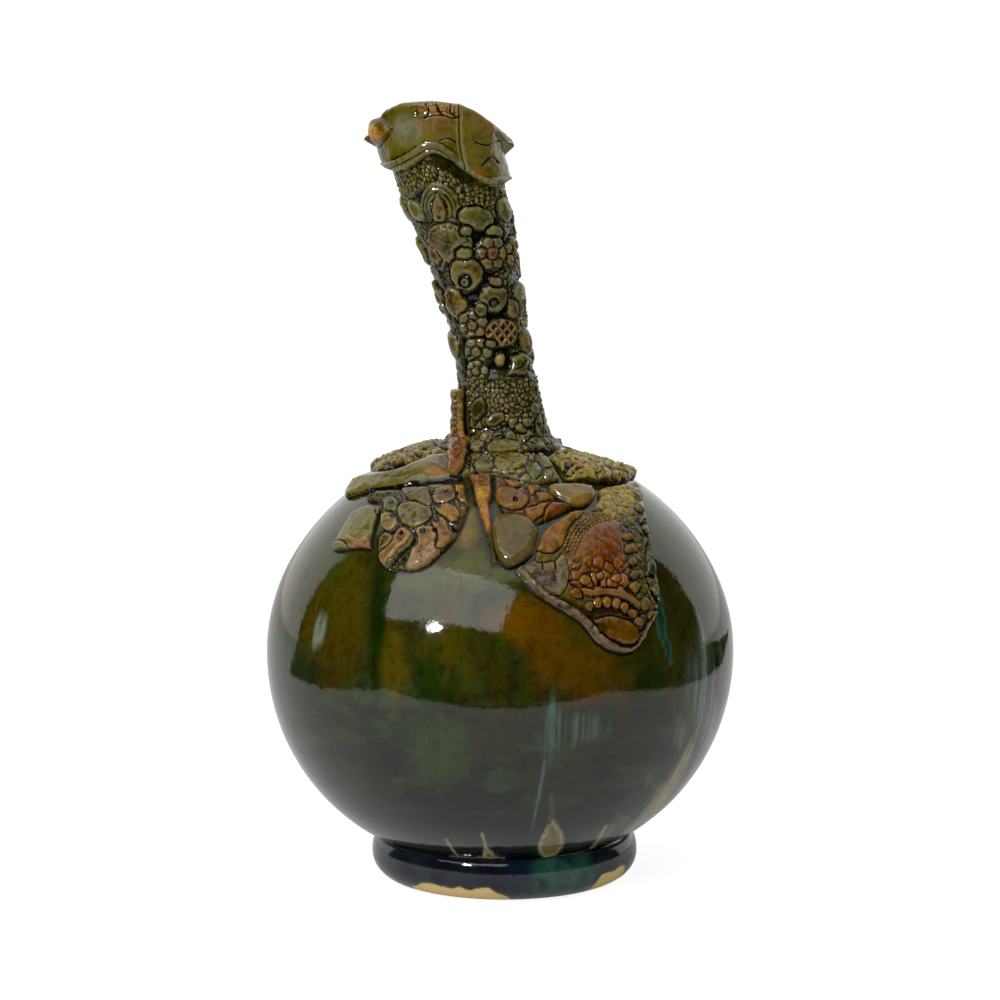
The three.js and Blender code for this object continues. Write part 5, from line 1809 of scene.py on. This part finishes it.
def shoulder_slabs():
    for k, (node, plan) in enumerate(SHOULDER.items()):
        seed = 200 + 20 * k
        looks = ("slot", "finish", "colours", "detail")
        clay = slab(on_shoulder, seed=seed, **{key: plan[key] for key in plan if key not in looks})
        plan["finish"](clay, seed + 3, plan["colours"])
        if "detail" in plan:
            plan["detail"](clay)
        lay_slab(node, plan["slot"], clay)


# Strap

# Its route, as azimuth, distance up from the neck's foot, width and lift over the fold and the medallion
STRAP = [
    (-66, 26, 10.5, 0.4),
    (-64, 14, 9.5, 1.2),
    (-52, 3, 9, 4.2),
    (-38, -7, 9, 5.6),
    (-29, -17, 9, 5.2),
    (-24, -26, 7, 4.6),
    (-23.5, -32, 4, 3.4),
]
STRAP_THICKNESS = 3.4
STRAP_BEVEL = 2.6
STRAP_PITCH = 0.4
STRAP_COLUMNS = 26


def on_wrap(azimuth, up, out=0.0):
    """The neck's foot and the shoulder as one surface, from the distance up the neck or, below 0, down"""
    azimuth, up = np.asarray(azimuth, float), np.asarray(up, float)
    base_reach = reach_at_radius(NECK_BASE_RADIUS)
    low = on_globe(azimuth, base_reach - np.minimum(up, 12), out)
    high = on_neck(azimuth, CROWN_Z + 2 + np.maximum(up, -12), out)
    return mix(low, high, smooth(up, -9, 5)[..., None])


def strap():
    """The torn strap that stands against the neck and runs down over the fold to the medallion"""
    path = curve_through(STRAP)
    spine = on_wrap(path[:, 0], path[:, 1], path[:, 3])
    out = on_wrap(path[:, 0], path[:, 1], path[:, 3] + 1) - spine
    steps = np.linalg.norm(np.diff(spine, axis=0), axis=1)
    travelled = np.concatenate([[0], np.cumsum(steps)])
    at = np.linspace(0, travelled[-1], int(travelled[-1] / STRAP_PITCH))

    def resample(values):
        return np.stack([np.interp(at, travelled, column) for column in values.T], axis=-1)

    spine, out, path = resample(spine), resample(out), resample(path)
    forward = np.gradient(spine, axis=0)
    forward /= np.linalg.norm(forward, axis=1)[:, None]
    side = np.cross(out, forward)
    side /= np.linalg.norm(side, axis=1)[:, None]
    out = np.cross(forward, side)
    share = np.linspace(-1, 1, STRAP_COLUMNS)
    torn = 0.5 * noise(np.stack([at / 1.8, 0 * at, 0 * at], axis=-1), 301)
    reach = share[:, None] * (path[:, 2] / 2 + torn)[None, :]
    spot = spine[None] + side[None] * reach[..., None]
    across, along = np.meshgrid(share, at, indexing="ij")
    clay = Clay(None, across, along, spot, out[None] + 0 * spot)
    clay.up = clay.along / at[-1]
    give_body(clay, STRAP_THICKNESS, STRAP_BEVEL)
    plain(clay, 96, (linear(100, 92, 30), OLIVE), 0.4)
    clay.height = clay.height + 0.7 * cloud(clay.spot / 2.6, 2, 302)
    low = smooth(clay.along, 16, 26)
    clay.paint(low, linear(120, 78, 34))
    clay.mottle(4, 303, 0, 0.4, linear(126, 64, 20), low, 2)
    edge = smooth(clay.inward, 1.6, 0.6)
    clay.paint(edge * low * 0.8, linear(158, 128, 78))
    for step in np.arange(3, 24, 3.1):
        bead = np.hypot(clay.across * 4 - 1.6, clay.along - step)
        clay.press(bead - 1.2, 1.3, 1.2, 0.4, 0.2, OLIVE)
    lay_slab("upright_strap", "amber_glaze", clay, sink=2.2)


# Floor, light and camera

AMBIENT = 0.5
WHITE = (1, 1, 1, 1)
FLOOR_GREY = (0.8, 0.8, 0.8, 1)
FLOOR_WHITE = 0.5
FLOOR_SHINE = 0.12
FLOOR_GLOW = 1.75
TABLE_FRONT = 0.42
TABLE_SIDE = 0.52
TABLE_LEFT_BACK = 0.25
TABLE_RIGHT_BACK = 0.9
FLAG_REACH = 2.3
FLAG_BACK = 1.1
FLAG_LIFT = 0.002
FLAG_HEIGHT = 3.6
FLAG_TURN = 116
FLAG_PANELS = 16
FLAG_BLACK = (0.004, 0.004, 0.004, 1)
GLOBE_CENTRE = Vector((0, 0, 0.13))
LAMP_DISTANCE = 1.6
SOFTBOX_AIM = (-31, 43)
SOFTBOX_SIZE = (1.7, 0.85)
SOFTBOX_POWER = 12.0
SPOT_AIM = (-34.4, 25.2)
SPOT_SIZE = (0.1, 0.1)
SPOT_POWER = 4.5
GLINT_RADIUS = 0.045
GLINT_SIDES = 12
GLINT_NEARER = 0.99
GLINT_STRENGTH = 900


def matt(nodes, colour):
    return nodes.add("ShaderNodeBsdfDiffuse", {}, {"Color": colour})


def glow(nodes, strength):
    return nodes.add("ShaderNodeEmission", {}, {"Color": WHITE, "Strength": strength})


def black_surface(nodes):
    return matt(nodes, FLAG_BLACK)


def glint_surface(nodes):
    return glow(nodes, GLINT_STRENGTH)


def floor_surface(nodes):
    """Matt grey that glows where the camera sees it and, less, where the glaze reflects it"""
    share = nodes.ray("Is Camera Ray") * FLOOR_WHITE + nodes.ray("Is Transmission Ray") * FLOOR_WHITE
    share = share + nodes.ray("Is Glossy Ray") * FLOOR_SHINE
    sockets = {0: share, 1: matt(nodes, FLOOR_GREY), 2: glow(nodes, FLOOR_GLOW)}
    return nodes.add("ShaderNodeMixShader", {}, sockets)


def stage_sheet(name, corners, surface):
    """A flat sheet of the studio, from its corners in metres and the function that adds its shader"""
    mesh = bpy.data.meshes.new(name)
    mesh.from_pydata(corners, [], [tuple(range(len(corners)))])
    sheet = bpy.data.objects.new(name, mesh)
    bpy.context.scene.collection.objects.link(sheet)
    material = bpy.data.materials.new(name)
    nodes = Nodes(material)
    nodes.add("ShaderNodeOutputMaterial", {}, {"Surface": surface(nodes)})
    mesh.materials.append(material)
    return sheet


def card(name, corners, surface):
    """A sheet kept out of every ray but reflections, as a photographer's card out of the frame"""
    sheet = stage_sheet(name, corners, surface)
    sheet.visible_camera = sheet.visible_diffuse = sheet.visible_shadow = False
    sheet.visible_transmission = sheet.visible_volume_scatter = False


def studio():
    """White floor and surroundings, with dark cards in front and a round bright one that only gloss shows"""
    stage_sheet("floor", [(-6, -6, 0), (6, -6, 0), (6, 9, 0), (-6, 9, 0)], floor_surface)
    left, right = -FLAG_REACH, FLAG_REACH
    floor_flags = [
        [(left, -FLAG_REACH), (right, -FLAG_REACH), (right, -TABLE_FRONT), (left, -TABLE_FRONT)],
        [
            (left, -TABLE_FRONT),
            (-TABLE_SIDE, -TABLE_FRONT),
            (-TABLE_SIDE, TABLE_LEFT_BACK),
            (left, FLAG_BACK),
        ],
        [
            (TABLE_SIDE, -TABLE_FRONT),
            (right, -TABLE_FRONT),
            (right, FLAG_BACK),
            (TABLE_SIDE, TABLE_RIGHT_BACK),
        ],
    ]
    for k, corners in enumerate(floor_flags):
        card("floor_flag_%d" % k, [(x, y, FLAG_LIFT) for x, y in corners], black_surface)
    turns = np.radians(np.linspace(-FLAG_TURN, FLAG_TURN, FLAG_PANELS + 1))
    for k, (start, end) in enumerate(zip(turns[:-1], turns[1:])):
        feet = [(FLAG_REACH * math.sin(turn), -FLAG_REACH * math.cos(turn)) for turn in (start, end)]
        corners = [(*feet[0], 0), (*feet[1], 0), (*feet[1], FLAG_HEIGHT), (*feet[0], FLAG_HEIGHT)]
        card("wall_flag_%d" % k, corners, black_surface)
    away, aside, upward = lamp_frame(*SPOT_AIM)
    middle = GLOBE_CENTRE + away * LAMP_DISTANCE * GLINT_NEARER
    turns = np.linspace(0, -2 * math.pi, GLINT_SIDES, endpoint=False)
    rim = [middle + (aside * math.cos(turn) + upward * math.sin(turn)) * GLINT_RADIUS for turn in turns]
    card("glint_card", [tuple(corner) for corner in rim], glint_surface)
    world = bpy.data.worlds.new("studio")
    bpy.context.scene.world = world
    nodes = Nodes(world)
    seen_white = nodes.ray("Is Camera Ray") + nodes.ray("Is Glossy Ray") + nodes.ray("Is Transmission Ray")
    strength = seen_white * (1.0 - AMBIENT) + AMBIENT
    background = nodes.add("ShaderNodeBackground", {}, {"Color": WHITE, "Strength": strength})
    nodes.add("ShaderNodeOutputWorld", {}, {"Surface": background})


def lamp_frame(azimuth, elevation):
    """Directions from the globe's centre to a lamp, and to the side and upwards across it"""
    turn, lift = math.radians(azimuth), math.radians(elevation)
    away = Vector((math.sin(turn) * math.cos(lift), -math.cos(turn) * math.cos(lift), math.sin(lift)))
    aside = Vector((math.cos(turn), math.sin(turn), 0))
    return away, aside, away.cross(aside)


def area_lamp(name, aim, size, power):
    """A soft lamp that faces the vase from an azimuth and elevation, in metres and watts"""
    lamp = bpy.data.lights.new(name, "AREA")
    lamp.shape, lamp.energy = "RECTANGLE", power
    lamp.size, lamp.size_y = size
    holder = bpy.data.objects.new(name, lamp)
    away, _, _ = lamp_frame(*aim)
    holder.location = GLOBE_CENTRE + away * LAMP_DISTANCE
    holder.rotation_euler = away.to_track_quat("Z", "Y").to_euler()
    bpy.context.scene.collection.objects.link(holder)
    return holder


def lamps():
    area_lamp("softbox", SOFTBOX_AIM, SOFTBOX_SIZE, SOFTBOX_POWER)
    area_lamp("spot", SPOT_AIM, SPOT_SIZE, SPOT_POWER).visible_glossy = False


def camera():
    """The photograph's own view: in front, 8.4 degrees down on the vase"""
    lens = bpy.data.cameras.new("camera")
    lens.sensor_width = 36
    lens.lens = lens.sensor_width * VIEW_FOCAL / (2 * VIEW_MIDDLE)
    holder = bpy.data.objects.new("camera", lens)
    holder.location = (0, CAMERA_Y * METRES, CAMERA_Z * METRES)
    holder.rotation_euler = (math.radians(90 - CAMERA_DROP), 0, 0)
    bpy.context.scene.collection.objects.link(holder)
    bpy.context.scene.camera = holder


globe()
foot()
lower_sleeve()
upper_sleeve()
rim_bands()
shoulder_slabs()
strap()
studio()
lamps()
camera()
bpy.context.scene.view_settings.view_transform = "Standard"
